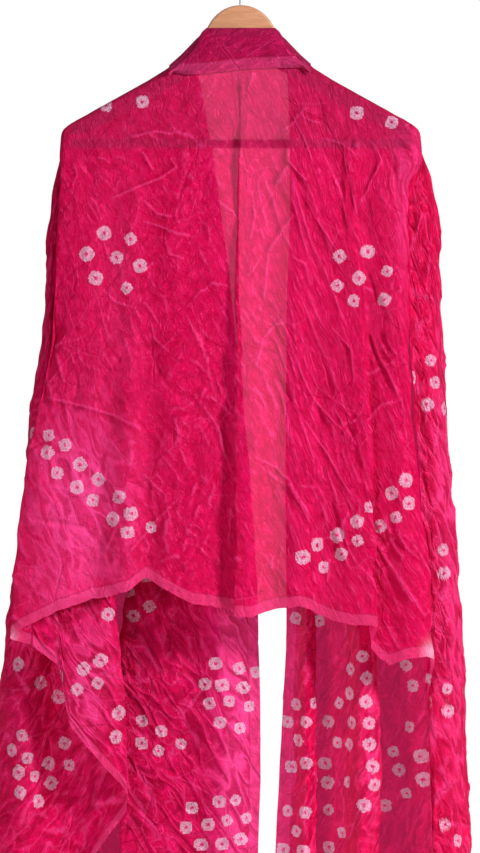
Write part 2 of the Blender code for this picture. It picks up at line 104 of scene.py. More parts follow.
class Patch(NamedTuple):
    """A soft patch of painted colour, for painted highlights and paler corners: its middle, half its width
    and height, and how strongly.
    """

    x: float
    depth: float
    wide: float
    tall: float
    share: float

    def glow(self, x: np.ndarray, depth: np.ndarray) -> np.ndarray:
        """How strongly this patch is painted at each place."""
        far = ((x - self.x) / self.wide) ** 2 + ((depth - self.depth) / self.tall) ** 2
        return self.share * np.exp(-far)


class CreaseNet(NamedTuple):
    """Fine creases that meet in stars: how many cross a metre, their width, and their gaps."""

    scale: float
    width: float
    gap_scale: float
    least: float


class Lamp(NamedTuple):
    """A soft square light: its name, its place and size in metres and its power in watts."""

    name: str
    place: tuple[float, float, float]
    size: float
    power: float


class Motif(Enum):
    """How a group of tied dots is laid out, as steps across and down for each dot."""

    PAIR = ((-0.5, 0.0), (0.5, 0.35))
    FLOWER = (
        (0.0, 0.0), (-0.95, 0.05), (-0.42, 0.86), (0.55, 0.88), (1.0, 0.1), (0.45, -0.9), (-0.5, -0.86),
    )
    SHORT_BAND = (
        (-1.5, -0.42), (-0.5, -0.42), (0.5, -0.42), (1.5, -0.42), (-1.0, 0.42), (0.0, 0.42), (1.0, 0.42),
    )
    LONG_BAND = (
        (-3.0, -0.42), (-2.0, -0.42), (-1.0, -0.42), (0.0, -0.42), (1.0, -0.42), (2.0, -0.42), (3.0, -0.42),
        (-2.5, 0.42), (-1.5, 0.42), (-0.5, 0.42), (0.5, 0.42), (1.5, 0.42), (2.5, 0.42),
    )
    LATTICE = (
        (-1.0, -1.5), (0.0, -1.5), (1.0, -1.5), (-1.5, -0.6), (-0.5, -0.6), (0.5, -0.6), (1.5, -0.6),
        (-1.0, 0.3), (0.0, 0.3), (1.0, 0.3), (-0.5, 1.2), (0.5, 1.2),
    )


class Side(Enum):
    """The side from which a group of dots is seen."""

    BACK = -1
    FRONT = 1


class Held(Enum):
    """How a sheet of cloth is held."""

    HUNG = "hung"
    FOLDED = "folded"


class Slot(Enum):
    """What a piece is made of."""

    SILK = "silk"
    COLLAR_SILK = "silk_collar"
    WOOD = "wood"
    STEEL = "steel"


class Tie(NamedTuple):
    """A group of tied dots: layout, place, turn in degrees, step between dots and the side it shows on."""

    motif: Motif
    x: float
    depth: float
    turn: float
    step: float
    side: Side


# Depths at which the folds' places are given
LEVELS = (300, 480, 660, 840, 1010, 1140, 1270)

# The line over the top of each arm
RIDGE = (
    Place(0, 106), Place(42, 106), Place(48, 111), Place(60, 124), Place(74, 138.5), Place(90, 152.5),
    Place(114, 167.5), Place(150, 187.5), Place(178, 203), Place(199, 215.5),
    Place(216, 227), Place(226, 235),
)

LEFT_FOLDS = (
    Fold("opening edge", -57, -57, 90, 1262, (-28, -6, 12, 22, 25, 21, 19), (14, 24, 30, 34, 36, 34, 32)),
    Fold("near face", -66, -66, 90, 1266, (-47, -32, -16, -6, -4, -6, -9), (12, 19, 24, 26, 27, 26, 25)),
    Fold("near valley", -80, -80, 90, 1270,
         (-73, -65, -57, -54, -53, -55, -58), (13, 23, 30, 35, 37, 35, 33)),
    Fold("near turn", -96, -96, 90, 1272,
         (-102, -106, -118, -146, -154, -152, -148), (14, 24, 30, 33, 35, 34, 32)),
    Fold("middle layer", -106, -106, 90, 1270,
         (-101, -90, -82, -75, -75, -77, -80), (22, 39, 49, 56, 58, 56, 54)),
    Fold("far turn", -118, -118, 90, 1268,
         (-103, -80, -50, -26, -21, -23, -26), (29, 50, 62, 68, 70, 68, 66)),
    Fold("far layer", -132, -132, 90, 1270,
         (-114, -102, -87, -75, -75, -77, -80), (33, 58, 74, 81, 83, 81, 79)),
    Fold("far dip", -144, -144, 90, 1268,
         (-132, -126, -120, -116, -118, -122, -127), (29, 48, 60, 65, 67, 66, 65)),
    Fold("far ridge", -160, -160, 90, 1274,
         (-155, -157, -162, -166, -172, -178, -184), (31, 56, 72, 80, 83, 83, 81)),
    Fold("far fold", -174, -174, 90, 1270,
         (-176, -183, -192, -202, -210, -216, -222), (27, 45, 57, 61, 64, 64, 63)),
    Fold("far side", -190, -190, 90, 1272,
         (-200, -212, -226, -245, -258, -264, -270), (25, 44, 57, 66, 70, 70, 68)),
    Fold("outer turn", -203, -213, 100, 1270,
         (-233, -250, -268, -292, -306, -318, -325), (14, 24, 32, 36, 40, 42, 42)),
    Fold("outer flute", -206, -213, 116, 1258,
         (-228, -237, -250, -264, -267, -273, -279), (4, 5, 7, 10, 13, 14, 14)),
    Fold("dark valley", -208, -213, 130, 1205,
         (-218, -221, -225, -226, -225, -227, -230), (7, 15, 22, 27, 30, 30, 30)),
    Fold("under layer", -210, -213, 143, 1116,
         (-209, -198, -188, -181, -173, -176, -178), (4, 6, 9, 13, 17, 19, 19)),
    Fold("inner turn", -211, -213, 156, 1050,
         (-204, -182, -166, -152, -138, -136, -136), (0, -2, -3, -2, 2, 5, 5)),
    Fold("cascade face", -212, -213, 167, 1010,
         (-209, -196, -188, -180, -168, -166, -166), (-4, -9, -13, -15, -14, -12, -12)),
    Fold("cascade side", -212.5, -213, 175, 960,
         (-214, -210, -213, -213, -207, -205, -205), (-5, -10, -15, -17, -17, -16, -16)),
    Fold("cascade corner", -212.8, -213, 181, 884,
         (-216, -218, -224, -224, -220, -218, -218), (-5, -11, -16, -18, -18, -18, -18)),
)
LEFT_SEAM = Fold(
    "left seam", -213, -213, 189, 862,
    (-218, -226, -242, -254, -258, -260, -260), (-6, -12, -17, -20, -20, -20, -20),
)
BACK_FOLDS = (
    Fold("left side fold", -211, -213, 212, 852,
         (-221, -234, -265, -281, -286, -288, -290), (-8, -16, -22, -27, -27, -27, -27)),
    Fold("left roll", -206, -213, 245, 838,
         (-210, -221, -250, -262, -266, -268, -270), (-11, -21, -29, -35, -35, -35, -35)),
    Fold("left ridge", -188, -190, 270, 815,
         (-186, -193, -210, -220, -222, -222, -222), (-12, -24, -33, -38, -38, -38, -38)),
    Fold("left hollow", -163, -163, 270, 803,
         (-159, -164, -171, -176, -177, -177, -177), (-11, -21, -28, -30, -30, -30, -30)),
    Fold("left wave", -133, -133, 270, 793,
         (-130, -133, -137, -137, -137, -137, -137), (-12, -25, -35, -42, -42, -42, -42)),
    Fold("hem arch", -111, -111, 270, 778,
         (-109, -112, -114, -116, -116, -116, -116), (-11, -21, -27, -30, -30, -30, -30)),
    Fold("blade", -90, -90, 270, 792,
         (-87, -87, -87, -87, -87, -87, -87), (-12, -24, -32, -36, -36, -36, -36)),
    Fold("mid left", -62, -62, 270, 811,
         (-60, -58, -57, -55, -55, -55, -55), (-12, -23, -31, -37, -37, -37, -37)),
    Fold("spine hollow", -36, -36, 270, 814,
         (-33, -29, -28, -28, -28, -28, -28), (-12, -21, -27, -30, -30, -30, -30)),
    Fold("spine left", -12, -12, 270, 817, (-9, -9, -9, -9, -9, -9, -9), (-12, -21, -26, -29, -29, -29, -29)),
    Fold("spine under", -4, -4, 270, 818, (-2, 1, 5, 7, 7, 7, 7), (-12, -23, -29, -32, -32, -32, -32)),
    Fold("spine crease", 1, 1, 270, 823,
         (-2, -5, -6, -10, -10, -10, -10), (-14, -28, -36, -41, -41, -41, -41)),
    Fold("spine ridge", 9, 9, 270, 824, (8, 9, 10, 10, 10, 10, 10), (-15, -30, -40, -46, -46, -46, -46)),
    Fold("mid right", 36, 36, 270, 817, (33, 36, 38, 38, 38, 38, 38), (-12, -23, -31, -35, -35, -35, -35)),
    Fold("right wave", 66, 66, 270, 812, (65, 68, 70, 71, 71, 71, 71), (-13, -27, -36, -42, -42, -42, -42)),
    Fold("right hollow", 92, 92, 270, 824,
         (90, 95, 98, 100, 100, 100, 100), (-11, -21, -28, -31, -31, -31, -31)),
    Fold("right blade", 126, 126, 270, 833,
         (122, 127, 130, 132, 132, 132, 132), (-12, -25, -34, -40, -40, -40, -40)),
    Fold("step edge", 146, 146, 270, 838,
         (143, 153, 161, 167, 168, 168, 168), (-12, -24, -34, -41, -41, -41, -41)),
    Fold("step under", 156, 156, 270, 862,
         (149, 155, 157, 159, 160, 160, 160), (-10, -20, -25, -29, -29, -29, -29)),
    Fold("step out", 172, 172, 270, 883,
         (163, 168, 175, 180, 182, 182, 182), (-11, -21, -27, -30, -30, -30, -30)),
    Fold("right ridge", 190, 192, 270, 875,
         (182, 187, 196, 206, 208, 208, 208), (-12, -24, -33, -38, -38, -38, -38)),
    Fold("right roll", 206, 213, 295, 874,
         (195, 198, 210, 225, 230, 232, 234), (-11, -22, -29, -34, -34, -34, -34)),
    Fold("right side fold", 211, 213, 328, 878,
         (203, 205, 219, 234, 239, 242, 244), (-8, -16, -22, -27, -27, -27, -27)),
)
RIGHT_SEAM = Fold(
    "right seam", 213, 213, 351, 898,
    (206, 207, 218, 232, 234, 234, 234), (-5, -11, -15, -18, -18, -18, -18),
)
RIGHT_FOLDS = (
    Fold("flute turn", 212.6, 213, 362, 935,
         (211, 212, 218, 228, 229, 227, 226), (-2, -5, -7, -9, -8, -8, -8)),
    Fold("flute edge", 212, 213, 372, 1150,
         (217, 221, 228, 238, 238, 236, 235), (-2, -4, -6, -8, -8, -8, -8)),
    Fold("flute face", 210, 213, 386, 1258, (227, 237, 246, 257, 260, 260, 260), (0, -1, -3, -4, -4, -4, -4)),
    Fold("right outer turn", 206, 213, 418, 1268,
         (236, 252, 263, 276, 284, 289, 292), (11, 19, 25, 27, 29, 30, 30)),
    Fold("right far side", 196, 208, 444, 1272,
         (196, 211, 228, 246, 252, 255, 257), (24, 45, 56, 61, 63, 63, 62)),
    Fold("right far dip", 184, 186, 450, 1268,
         (180, 190, 205, 222, 229, 232, 234), (24, 41, 51, 53, 54, 54, 54)),
    Fold("dark layer", 172, 172, 450, 1270,
         (160, 167, 178, 193, 198, 200, 202), (28, 50, 63, 69, 71, 71, 69)),
    Fold("under ridge", 154, 154, 450, 1268,
         (140, 138, 141, 149, 151, 149, 146), (24, 42, 50, 54, 55, 54, 52)),
    Fold("ridge turn", 141, 141, 450, 1266,
         (138, 145, 154, 166, 172, 170, 168), (15, 21, 22, 20, 18, 18, 18)),
    Fold("bright ridge", 128, 128, 450, 1268, (125, 129, 135, 146, 148, 149, 150), (12, 15, 15, 11, 9, 9, 9)),
    Fold("soft slope", 113, 113, 450, 1272,
         (110, 112, 116, 124, 127, 128, 129), (18, 28, 32, 33, 34, 34, 34)),
    Fold("valley", 99, 99, 450, 1270, (95, 95, 97, 100, 100, 100, 100), (22, 37, 45, 49, 51, 51, 50)),
    Fold("under pale ridge", 89, 89, 450, 1268, (86, 83, 81, 81, 80, 78, 75), (20, 34, 41, 45, 47, 47, 45)),
    Fold("pale turn", 81, 81, 450, 1266, (84, 86, 88, 90, 92, 91, 90), (14, 21, 24, 25, 25, 25, 25)),
    Fold("pale ridge", 73, 73, 450, 1264, (77, 77, 78, 80, 81, 79, 77), (10, 14, 16, 17, 17, 17, 17)),
    Fold("right near face", 65, 65, 450, 1264, (69, 67, 67, 68, 64, 60, 58), (13, 21, 27, 30, 31, 31, 30)),
    Fold("right opening edge", 57, 57, 450, 1262, (61, 56, 55, 56, 48, 42, 38), (15, 25, 33, 37, 39, 37, 35)),
)
CHAIN = LEFT_FOLDS + (LEFT_SEAM,) + BACK_FOLDS + (RIGHT_SEAM,) + RIGHT_FOLDS
LEFT_SEAM_AT = len(LEFT_FOLDS)
RIGHT_SEAM_AT = LEFT_SEAM_AT + 1 + len(BACK_FOLDS)

# The collar's free edge
COLLAR_EDGE = (
    Place(-88, 157), Place(-65, 161.5), Place(-42, 160), Place(-5, 155.5), Place(26, 153.5), Place(86, 152),
)

# The wood's outline on the right side, from the top of the dome round to the middle of the underside
DOME = (Place(0, 75), Place(9, 76), Place(19, 79.5), Place(28, 85.5), Place(36, 94), Place(42, 104))
ARM_TIP = (
    Place(213.5, 229), Place(217, 233), Place(218.5, 240), Place(218, 249), Place(214.5, 254.5),
    Place(210, 255), Place(207, 252), Place(207, 238.8),
)
UNDERSIDE = (
    Place(198, 235.5), Place(158, 218.5), Place(110, 192), Place(60, 162), Place(28, 142), Place(0, 136),
)

# Middle of the round bar between the arms' tips
BAR_DEPTH = 245.5

# The back's main creases: x and depth of the places each runs through, height and width
BACK_CREASES = (
    Crease(((9, 205), (8, 225), (1, 252), (-2, 292), (-4, 400), (-5, 487), (-5, 640), (-4, 760)), 1.3, 2.6),
    Crease(((75, 156), (75, 176), (75, 198)), -1.5, 2.2),
    Crease(((71, 209), (61, 224), (48, 231)), 1.4, 2.4),
    Crease(((71, 209), (88, 219), (101, 221)), 1.2, 2.4),
    Crease(((71, 209), (83, 201)), 1.1, 2.2),
    Crease(((57, 251), (57, 266), (74, 287), (80, 293)), 2.0, 2.8),
    Crease(((57, 272), (49, 288), (32, 314)), 2.0, 2.8),
    Crease(((46, 293), (33, 311), (20, 334)), -1.6, 3.2),
    Crease(((65, 332), (50, 353), (34, 378), (30, 422), (25, 453)), 1.8, 2.8),
    Crease(((92, 337), (106, 359), (121, 384)), 1.6, 2.6),
    Crease(((55, 380), (79, 394), (86, 422)), 1.4, 2.6),
    Crease(((99, 238), (124, 246), (146, 262)), 1.2, 3.0),
    Crease(((176, 252), (190, 281), (192, 330)), -1.4, 3.4),
    Crease(((110, 470), (134, 498), (139, 541)), 1.3, 3.0),
    Crease(((36, 520), (60, 560), (63, 611)), -1.3, 3.2),
    Crease(((150, 590), (172, 566), (199, 560)), 1.3, 3.0),
    Crease(((20, 640), (54, 664), (95, 668)), 1.1, 3.2),
    Crease(((-121, 255), (-107, 280)), 1.8, 2.6),
    Crease(((-87, 262), (-79, 275), (-96, 287), (-128, 300), (-160, 314)), 1.8, 2.8),
    Crease(((-205, 268), (-201, 283), (-206, 299)), 1.4, 2.6),
    Crease(((-30, 262), (-44, 290), (-47, 330)), -1.2, 3.2),
    Crease(((-65, 460), (-44, 502), (-31, 561)), 1.4, 2.8),
    Crease(((-226, 502), (-216, 540)), 1.6, 2.8),
    Crease(((-242, 556), (-200, 566), (-155, 579), (-121, 597)), 1.7, 3.0),
    Crease(((-257, 704), (-225, 709), (-188, 716)), -2.0, 3.4),
    Crease(((-120, 650), (-92, 676), (-84, 720)), 1.2, 3.0),
    Crease(((-60, 620), (-50, 664), (-62, 704)), -1.3, 3.2),
)

# Groups of tied dots on the back stretch
BACK_TIES = (
    Tie(Motif.FLOWER, -156, 386, 12, 34, Side.BACK),
    Tie(Motif.FLOWER, 146, 412, -14, 35, Side.BACK),
    Tie(Motif.LONG_BAND, -181, 668, 43, 29, Side.BACK),
    Tie(Motif.LONG_BAND, 146, 716, -37, 27, Side.BACK),
    Tie(Motif.PAIR, -150, 191, -24, 40, Side.BACK),
    Tie(Motif.PAIR, 162, 206, -8, 39, Side.BACK),
)

# Groups on the left fall
LEFT_TIES = (
    Tie(Motif.LATTICE, -10, 930, 8, 26, Side.BACK),
    Tie(Motif.SHORT_BAND, -205, 905, -20, 28, Side.BACK),
    Tie(Motif.SHORT_BAND, -118, 975, 30, 27, Side.BACK),
    Tie(Motif.LATTICE, -253, 1020, 12, 26, Side.BACK),
    Tie(Motif.LATTICE, -26, 1100, -10, 27, Side.BACK),
    Tie(Motif.FLOWER, -140, 800, 20, 30, Side.BACK),
    Tie(Motif.PAIR, -287, 872, 10, 30, Side.BACK),
    Tie(Motif.SHORT_BAND, -250, 650, 70, 30, Side.BACK),
    Tie(Motif.FLOWER, -90, 520, 10, 34, Side.FRONT),
    Tie(Motif.LONG_BAND, -120, 760, 40, 30, Side.FRONT),
    Tie(Motif.LATTICE, -110, 1010, 0, 28, Side.FRONT),
    Tie(Motif.FLOWER, -235, 900, 20, 34, Side.FRONT),
    Tie(Motif.SHORT_BAND, -230, 1120, -30, 30, Side.FRONT),
)

# Groups on the right fall
RIGHT_TIES = (
    Tie(Motif.LATTICE, 92, 975, 4, 26, Side.BACK),
    Tie(Motif.LONG_BAND, 148, 960, 84, 27, Side.BACK),
    Tie(Motif.SHORT_BAND, 238, 920, 24, 29, Side.BACK),
    Tie(Motif.FLOWER, 246, 540, 10, 33, Side.BACK),
    Tie(Motif.PAIR, 258, 760, 80, 26, Side.BACK),
    Tie(Motif.SHORT_BAND, 196, 1040, -40, 28, Side.BACK),
    Tie(Motif.LATTICE, 80, 1110, 0, 27, Side.BACK),
    Tie(Motif.PAIR, 262, 1085, 20, 30, Side.BACK),
    Tie(Motif.FLOWER, 120, 540, 0, 34, Side.FRONT),
    Tie(Motif.LONG_BAND, 150, 780, -38, 30, Side.FRONT),
    Tie(Motif.LATTICE, 110, 1030, 0, 28, Side.FRONT),
    Tie(Motif.FLOWER, 225, 1000, 14, 34, Side.FRONT),
)

# Painted highlights on each stretch
BACK_PATCHES = (
    Patch(-196, 690, 60, 110, 0.74), Patch(-240, 790, 40, 30, 0.15), Patch(206, 300, 20, 110, 0.35),
    Patch(-150, 420, 26, 120, 0.12),
)
LEFT_PATCHES = (
    Patch(-186, 905, 26, 75, 0.55), Patch(-272, 985, 26, 90, 0.10), Patch(-4, 960, 26, 260, 0.75),
)
RIGHT_PATCHES = (
    Patch(254, 690, 22, 230, 0.42), Patch(163, 985, 11, 130, 0.30), Patch(268, 960, 12, 120, 0.25),
)

# Turned hems: the stitched line's distance from the edge, and the span over which the folded band ends
HEM_WIDTH = 14.0
HEM_END = (12.5, 15.0)

# Layers of crinkles. Bends make the others wander, facets meet in sharp ridges and pleats lean.
BENDS_ACROSS = (Ripple(5, 34, 41, 11), Ripple(12, 120, 140, 17))
BENDS_DOWN = (Ripple(5, 38, 36, 12), Ripple(12, 130, 120, 18))
SWELLS = (Ripple(3.4, 70, 135, 1), Ripple(1.3, 27, 48, 2))
BROAD_FACETS = Ripple(4.6, 56, 84, 3)
SMALL_FACETS = Ripple(3.4, 19, 48, 5)
FINE_WRINKLES = Ripple(1.0, 6.5, 15, 7)
FINE_SLANT = 40.0
LONG_PLEATS = Ripple(3.6, 13.5, 52, 21)
SHORT_PLEATS = Ripple(1.8, 7.5, 26, 23)
ROUGH_PARTS = Ripple(1.0, 80, 80, 13)
DRAWN_PARTS = Ripple(1.0, 95, 95, 19)
CRINKLE_DROP = 2.0
HEM_WAVES = ((2.0, 23, 31), (0.9, 8, 32))

# Nets of fine creases in the silk's finish: the first is painted as highlight lines, the others raise the
# bump
HIGHLIGHT_LINES = CreaseNet(17.0, 0.022, 9.0, 0.5)
LONG_LINES = CreaseNet(15.0, 0.030, 9.0, 0.50)
SHORT_LINES = CreaseNet(33.0, 0.060, 21.0, 0.53)

WHITE = (1.0, 1.0, 1.0, 1.0)
LAMPS = (
    Lamp("key", (2.8, -1.7, 0.6), 0.6, 200.0),
    Lamp("fill", (-2.4, -2.6, -0.3), 1.4, 68.0),
    Lamp("back", (0.4, 2.6, -0.4), 2.0, 42.0),
)


def smooth_step(value: np.ndarray | float, low: float, high: float) -> np.ndarray:
    """Rise smoothly from 0 to 1.

    Args:
        value: Where to look.
        low: The value at which the rise starts.
        high: The value at which it ends.

    Returns:
        0 below low, 1 above high, and a smooth curve between.
    """
    share = np.clip((np.asarray(value, float) - low) / (high - low), 0.0, 1.0)
    return share * share * (3 - 2 * share)


def at_least(least: float, share: np.ndarray) -> np.ndarray:
    """Keep some of a strength where its share is 0, and all of it where the share is 1."""
    return least + (1 - least) * share


def curve_through(knots: Sequence[float], values: Sequence[float], at: np.ndarray) -> np.ndarray:
    """Draw a smooth curve that never swings past its values.

    Args:
        knots: Rising places at which the curve has a value.
        values: The value at each knot.
        at: Places to read; past both ends the curve is level.

    Returns:
        The curve's value at each place.
    """
    knots = np.asarray(knots, float)
    values = np.asarray(values, float)
    at = np.clip(at, knots[0], knots[-1])
    steps = np.diff(knots)
    rises = np.diff(values) / steps
    slopes = np.empty(len(knots))
    slopes[0], slopes[-1] = rises[0], rises[-1]
    for k in range(1, len(rises)):
        before, after = rises[k - 1], rises[k]
        near, far = 2 * steps[k] + steps[k - 1], steps[k] + 2 * steps[k - 1]
        slopes[k] = (near + far) / (near / before + far / after) if before * after > 0 else 0.0
    i = np.clip(np.searchsorted(knots, at, side="right") - 1, 0, len(steps) - 1)
    f = (at - knots[i]) / steps[i]
    return (
        values[i] * (1 + 2 * f) * (1 - f) ** 2
        + values[i + 1] * f * f * (3 - 2 * f)
        + slopes[i] * steps[i] * f * (1 - f) ** 2
        - slopes[i + 1] * steps[i] * f * f * (1 - f)
    )


def depth_on(line: Sequence[Place], x: float | np.ndarray) -> float | np.ndarray:
    """Depth of a line of places at x from the middle."""
    return np.interp(x, [place.x for place in line], [place.depth for place in line])


def ridge_depth(x: float) -> float:
    """Depth of the cloth on top of the arm at x from the middle."""
    return float(depth_on(RIDGE, abs(x)))


def put_in_scene(name: str, data: bpy.types.ID) -> bpy.types.Object:
    """Make an object at the origin for some data and put it in the scene.

    Args:
        name: The object's name.
        data: Its mesh, curve, light or camera.

    Returns:
        The new object.
    """
    made = bpy.data.objects.new(name, data)
    bpy.context.scene.collection.objects.link(made)
    return made


def mesh_from(name: str, shape: bmesh.types.BMesh) -> bpy.types.Mesh:
    """Turn a shape with smooth faces into a mesh, and let the shape go.

    Args:
        name: The mesh's name.
        shape: The finished shape.

    Returns:
        The new mesh.
    """
    for face in shape.faces:
        face.smooth = True
    mesh = bpy.data.meshes.new(name)
    shape.to_mesh(mesh)
    shape.free()
    return mesh


@dataclass(frozen=True)
class Drape:
    """The hang of the whole cloth: a chain of fold lines from one opening edge round to the other.

    The cloth rolls over each arm at arm_wrap from the arm's top line, and stands free between neck_x and
    neck_blend_x from the middle, where it drops by neck_drop. Folds beyond tip_from pass round the arm's tip,
    which they clear at clear_z by clear_x and clear_y.
    """

    arm_wrap: float = 8.5
    neck_drop: float = 3.0
    neck_x: float = 46.0
    neck_blend_x: float = 56.0
    clear_z: float = 262.0
    clear_x: float = 1.006
    clear_y: float = 1.05
    tip_from: float = 150.0
    wrap_turns: int = 9

    def along(self, column: str, at: float) -> float:
        """Read one column of the fold table at a place along the chain.

        Args:
            column: The column's name.
            at: The place along the chain.

        Returns:
            The value there, between those of the two nearest folds.
        """
        i = min(int(at), len(CHAIN) - 2)
        f = at - i
        return getattr(CHAIN[i], column) * (1 - f) + getattr(CHAIN[i + 1], column) * f

    def on_arm(self, at: float) -> float:
        """0 where the back stands free at the neck, 1 where it lies over an arm."""
        return float(smooth_step(abs(self.along("ridge", at)), self.neck_x, self.neck_blend_x))

    def arm_edge(self, at: float) -> tuple[float, float, float]:
        """Find where the cloth leaves the arm.

        Args:
            at: The place along the chain.

        Returns:
            Its x, y and depth.
        """
        turn = math.radians(self.along("turn", at))
        x = self.along("rest", at) + self.arm_wrap * math.cos(turn)
        fall = self.neck_drop + (self.arm_wrap - self.neck_drop) * self.on_arm(at)
        return x, self.arm_wrap * math.sin(turn), ridge_depth(x) + fall

    def fold_line(self, k: int, depth: np.ndarray) -> np.ndarray:
        """Follow one fold line down.

        Args:
            k: The fold's number in the chain.
            depth: The depths to read.

        Returns:
            A row of x and y for each depth.
        """
        fold = CHAIN[k]
        x, y, start = self.arm_edge(float(k))
        if abs(fold.rest) < self.tip_from:
            knots, first_x, first_y = (start,) + LEVELS, (x,), (y,)
        else:
            knots = (start, max(self.clear_z, start + 1)) + LEVELS
            share = (knots[1] - start) / (LEVELS[0] - start)
            grows_x, grows_y = abs(fold.x[0]) > abs(x), abs(fold.y[0]) > abs(y)
            first_x = (x, x + (fold.x[0] - x) * share if grows_x else x * self.clear_x)
            first_y = (y, y + (fold.y[0] - y) * share if grows_y else y * self.clear_y)
        return np.stack([
            curve_through(knots, first_x + fold.x, depth), curve_through(knots, first_y + fold.y, depth),
        ], axis=-1)

    def section(self, at: float, depth: np.ndarray) -> np.ndarray:
        """Follow the cloth down at one place along the chain.

        Args:
            at: The place along the chain of folds.
            depth: The depths to read.

        Returns:
            A row of x and y for each depth.
        """
        i = min(int(at), len(CHAIN) - 2)
        f = at - i
        near = [self.fold_line(min(max(k, 0), len(CHAIN) - 1), depth) for k in (i - 1, i, i + 1, i + 2)]
        span = [np.linalg.norm(b - a, axis=-1, keepdims=True) + 1e-6 for a, b in zip(near, near[1:])]
        way = [(b - a) / s for a, b, s in zip(near, near[1:], span)]
        leave = (way[0] * span[1] + way[1] * span[0]) / (span[0] + span[1]) if i else way[1]
        last = i == len(CHAIN) - 2
        arrive = way[1] if last else (way[1] * span[2] + way[2] * span[1]) / (span[1] + span[2])
        return (
            near[1] * (1 + 2 * f) * (1 - f) ** 2
            + near[2] * f * f * (3 - 2 * f)
            + leave * span[1] * f * (1 - f) ** 2
            - arrive * span[1] * f * f * (1 - f)
        )

    def over_arm(self, at: float, lift: float = 0.0) -> np.ndarray:
        """Carry the cloth from the top of the arm to where it hangs free.

        Args:
            at: The place along the chain.
            lift: How far the cloth is moved out from the arm.

        Returns:
            Rows of x, y and depth.
        """
        x_top = self.along("ridge", at)
        x_end, y_end, depth_end = self.arm_edge(at)
        depth_top = ridge_depth(x_top)
        turns = np.radians(np.linspace(0, 90, self.wrap_turns))
        s, c = np.sin(turns), np.cos(turns)
        arm = np.stack([
            x_top + (x_end - x_top) * s,
            y_end * s * (1 + lift / self.arm_wrap),
            depth_top + (ridge_depth(x_end) + self.arm_wrap - depth_top) * (1 - c) - lift * c,
        ], axis=-1)
        free = np.linspace(depth_top, depth_end, len(arm))
        neck = np.stack([np.full(len(arm), x_end), np.full(len(arm), y_end), free], axis=-1)
        share = self.on_arm(at)
        return neck * (1 - share) + arm * share

    def column(self, at: float, rows: int, drop: float = 0.0) -> np.ndarray:
        """Follow one column of cloth from the top of the arm to the hem.

        Args:
            at: The place along the chain.
            rows: How many places it has where it hangs.
            drop: How much lower the hem is than the fold table says.

        Returns:
            Rows of x, y and depth.
        """
        top = self.over_arm(at)
        depths = np.linspace(top[-1][2], self.along("hem", at) + drop, rows + 1)[1:]
        hang = self.section(at, depths)
        return np.vstack([top, np.column_stack([hang, depths])])

    def places(self, first: float, last: float, count: int, depth: float = 700.0) -> np.ndarray:
        """Find places along the chain that are evenly spaced on the cloth.

        Args:
            first: Where the stretch starts.
            last: Where it ends.
            count: How many places to give.
            depth: The depth at which the spacing is even.

        Returns:
            The places, and their distances along the cloth in a second row.
        """
        fine = np.linspace(first, last, int((last - first) * 30) + 1)
        line = np.array([self.section(at, np.array([depth]))[0] for at in fine])
        length = np.concatenate([[0.0], np.cumsum(np.linalg.norm(np.diff(line, axis=0), axis=1))])
        even = np.linspace(0.0, length[-1], count)
        return np.stack([np.interp(even, length, fine), even])


@dataclass(frozen=True)
class Scatter:
    """Short creases strewn over a sheet; most of them run down it.

    The pairs are a usual value and its spread for angle, a least value and a range for reach, and the least
    and greatest value for height and width.
    """

    top: float = 60.0
    angle: tuple[float, float] = (90.0, 34.0)
    angled: float = 0.7
    reach: tuple[float, float] = (14.0, 90.0)
    bow: float = 0.25
    height: tuple[float, float] = (1.0, 2.8)
    proud: float = 0.65
    width: tuple[float, float] = (2.0, 4.2)
    room: float = 2400.0

    def strew(self, seed: int, width: float, length: float) -> list[Crease]:
        """Strew creases of uneven length, height and direction.

        Args:
            seed: The stretch's own number, so that the creases are the same each time.
            width: Width of the sheet.
            length: Its length.

        Returns:
            One crease for each piece of the sheet's area.
        """
        dice = np.random.default_rng(seed * 131)
        creases = []
        for _ in range(int(width * length / self.room)):
            mid = np.array([dice.uniform(0, width), dice.uniform(self.top, length)])
            angle = dice.normal(*self.angle) if dice.uniform() < self.angled else dice.uniform(0, 180)
            reach = self.reach[0] + self.reach[1] * dice.uniform() ** 2
            way = np.array([math.cos(math.radians(angle)), math.sin(math.radians(angle))]) * reach / 2
            bow = np.array([-way[1], way[0]]) * dice.uniform(-self.bow, self.bow)
            line = tuple(map(tuple, (mid - way, mid + bow, mid + way)))
            height = dice.uniform(*self.height) * (1 if dice.uniform() < self.proud else -1)
            creases.append(Crease(line, height, dice.uniform(*self.width)))
        return creases


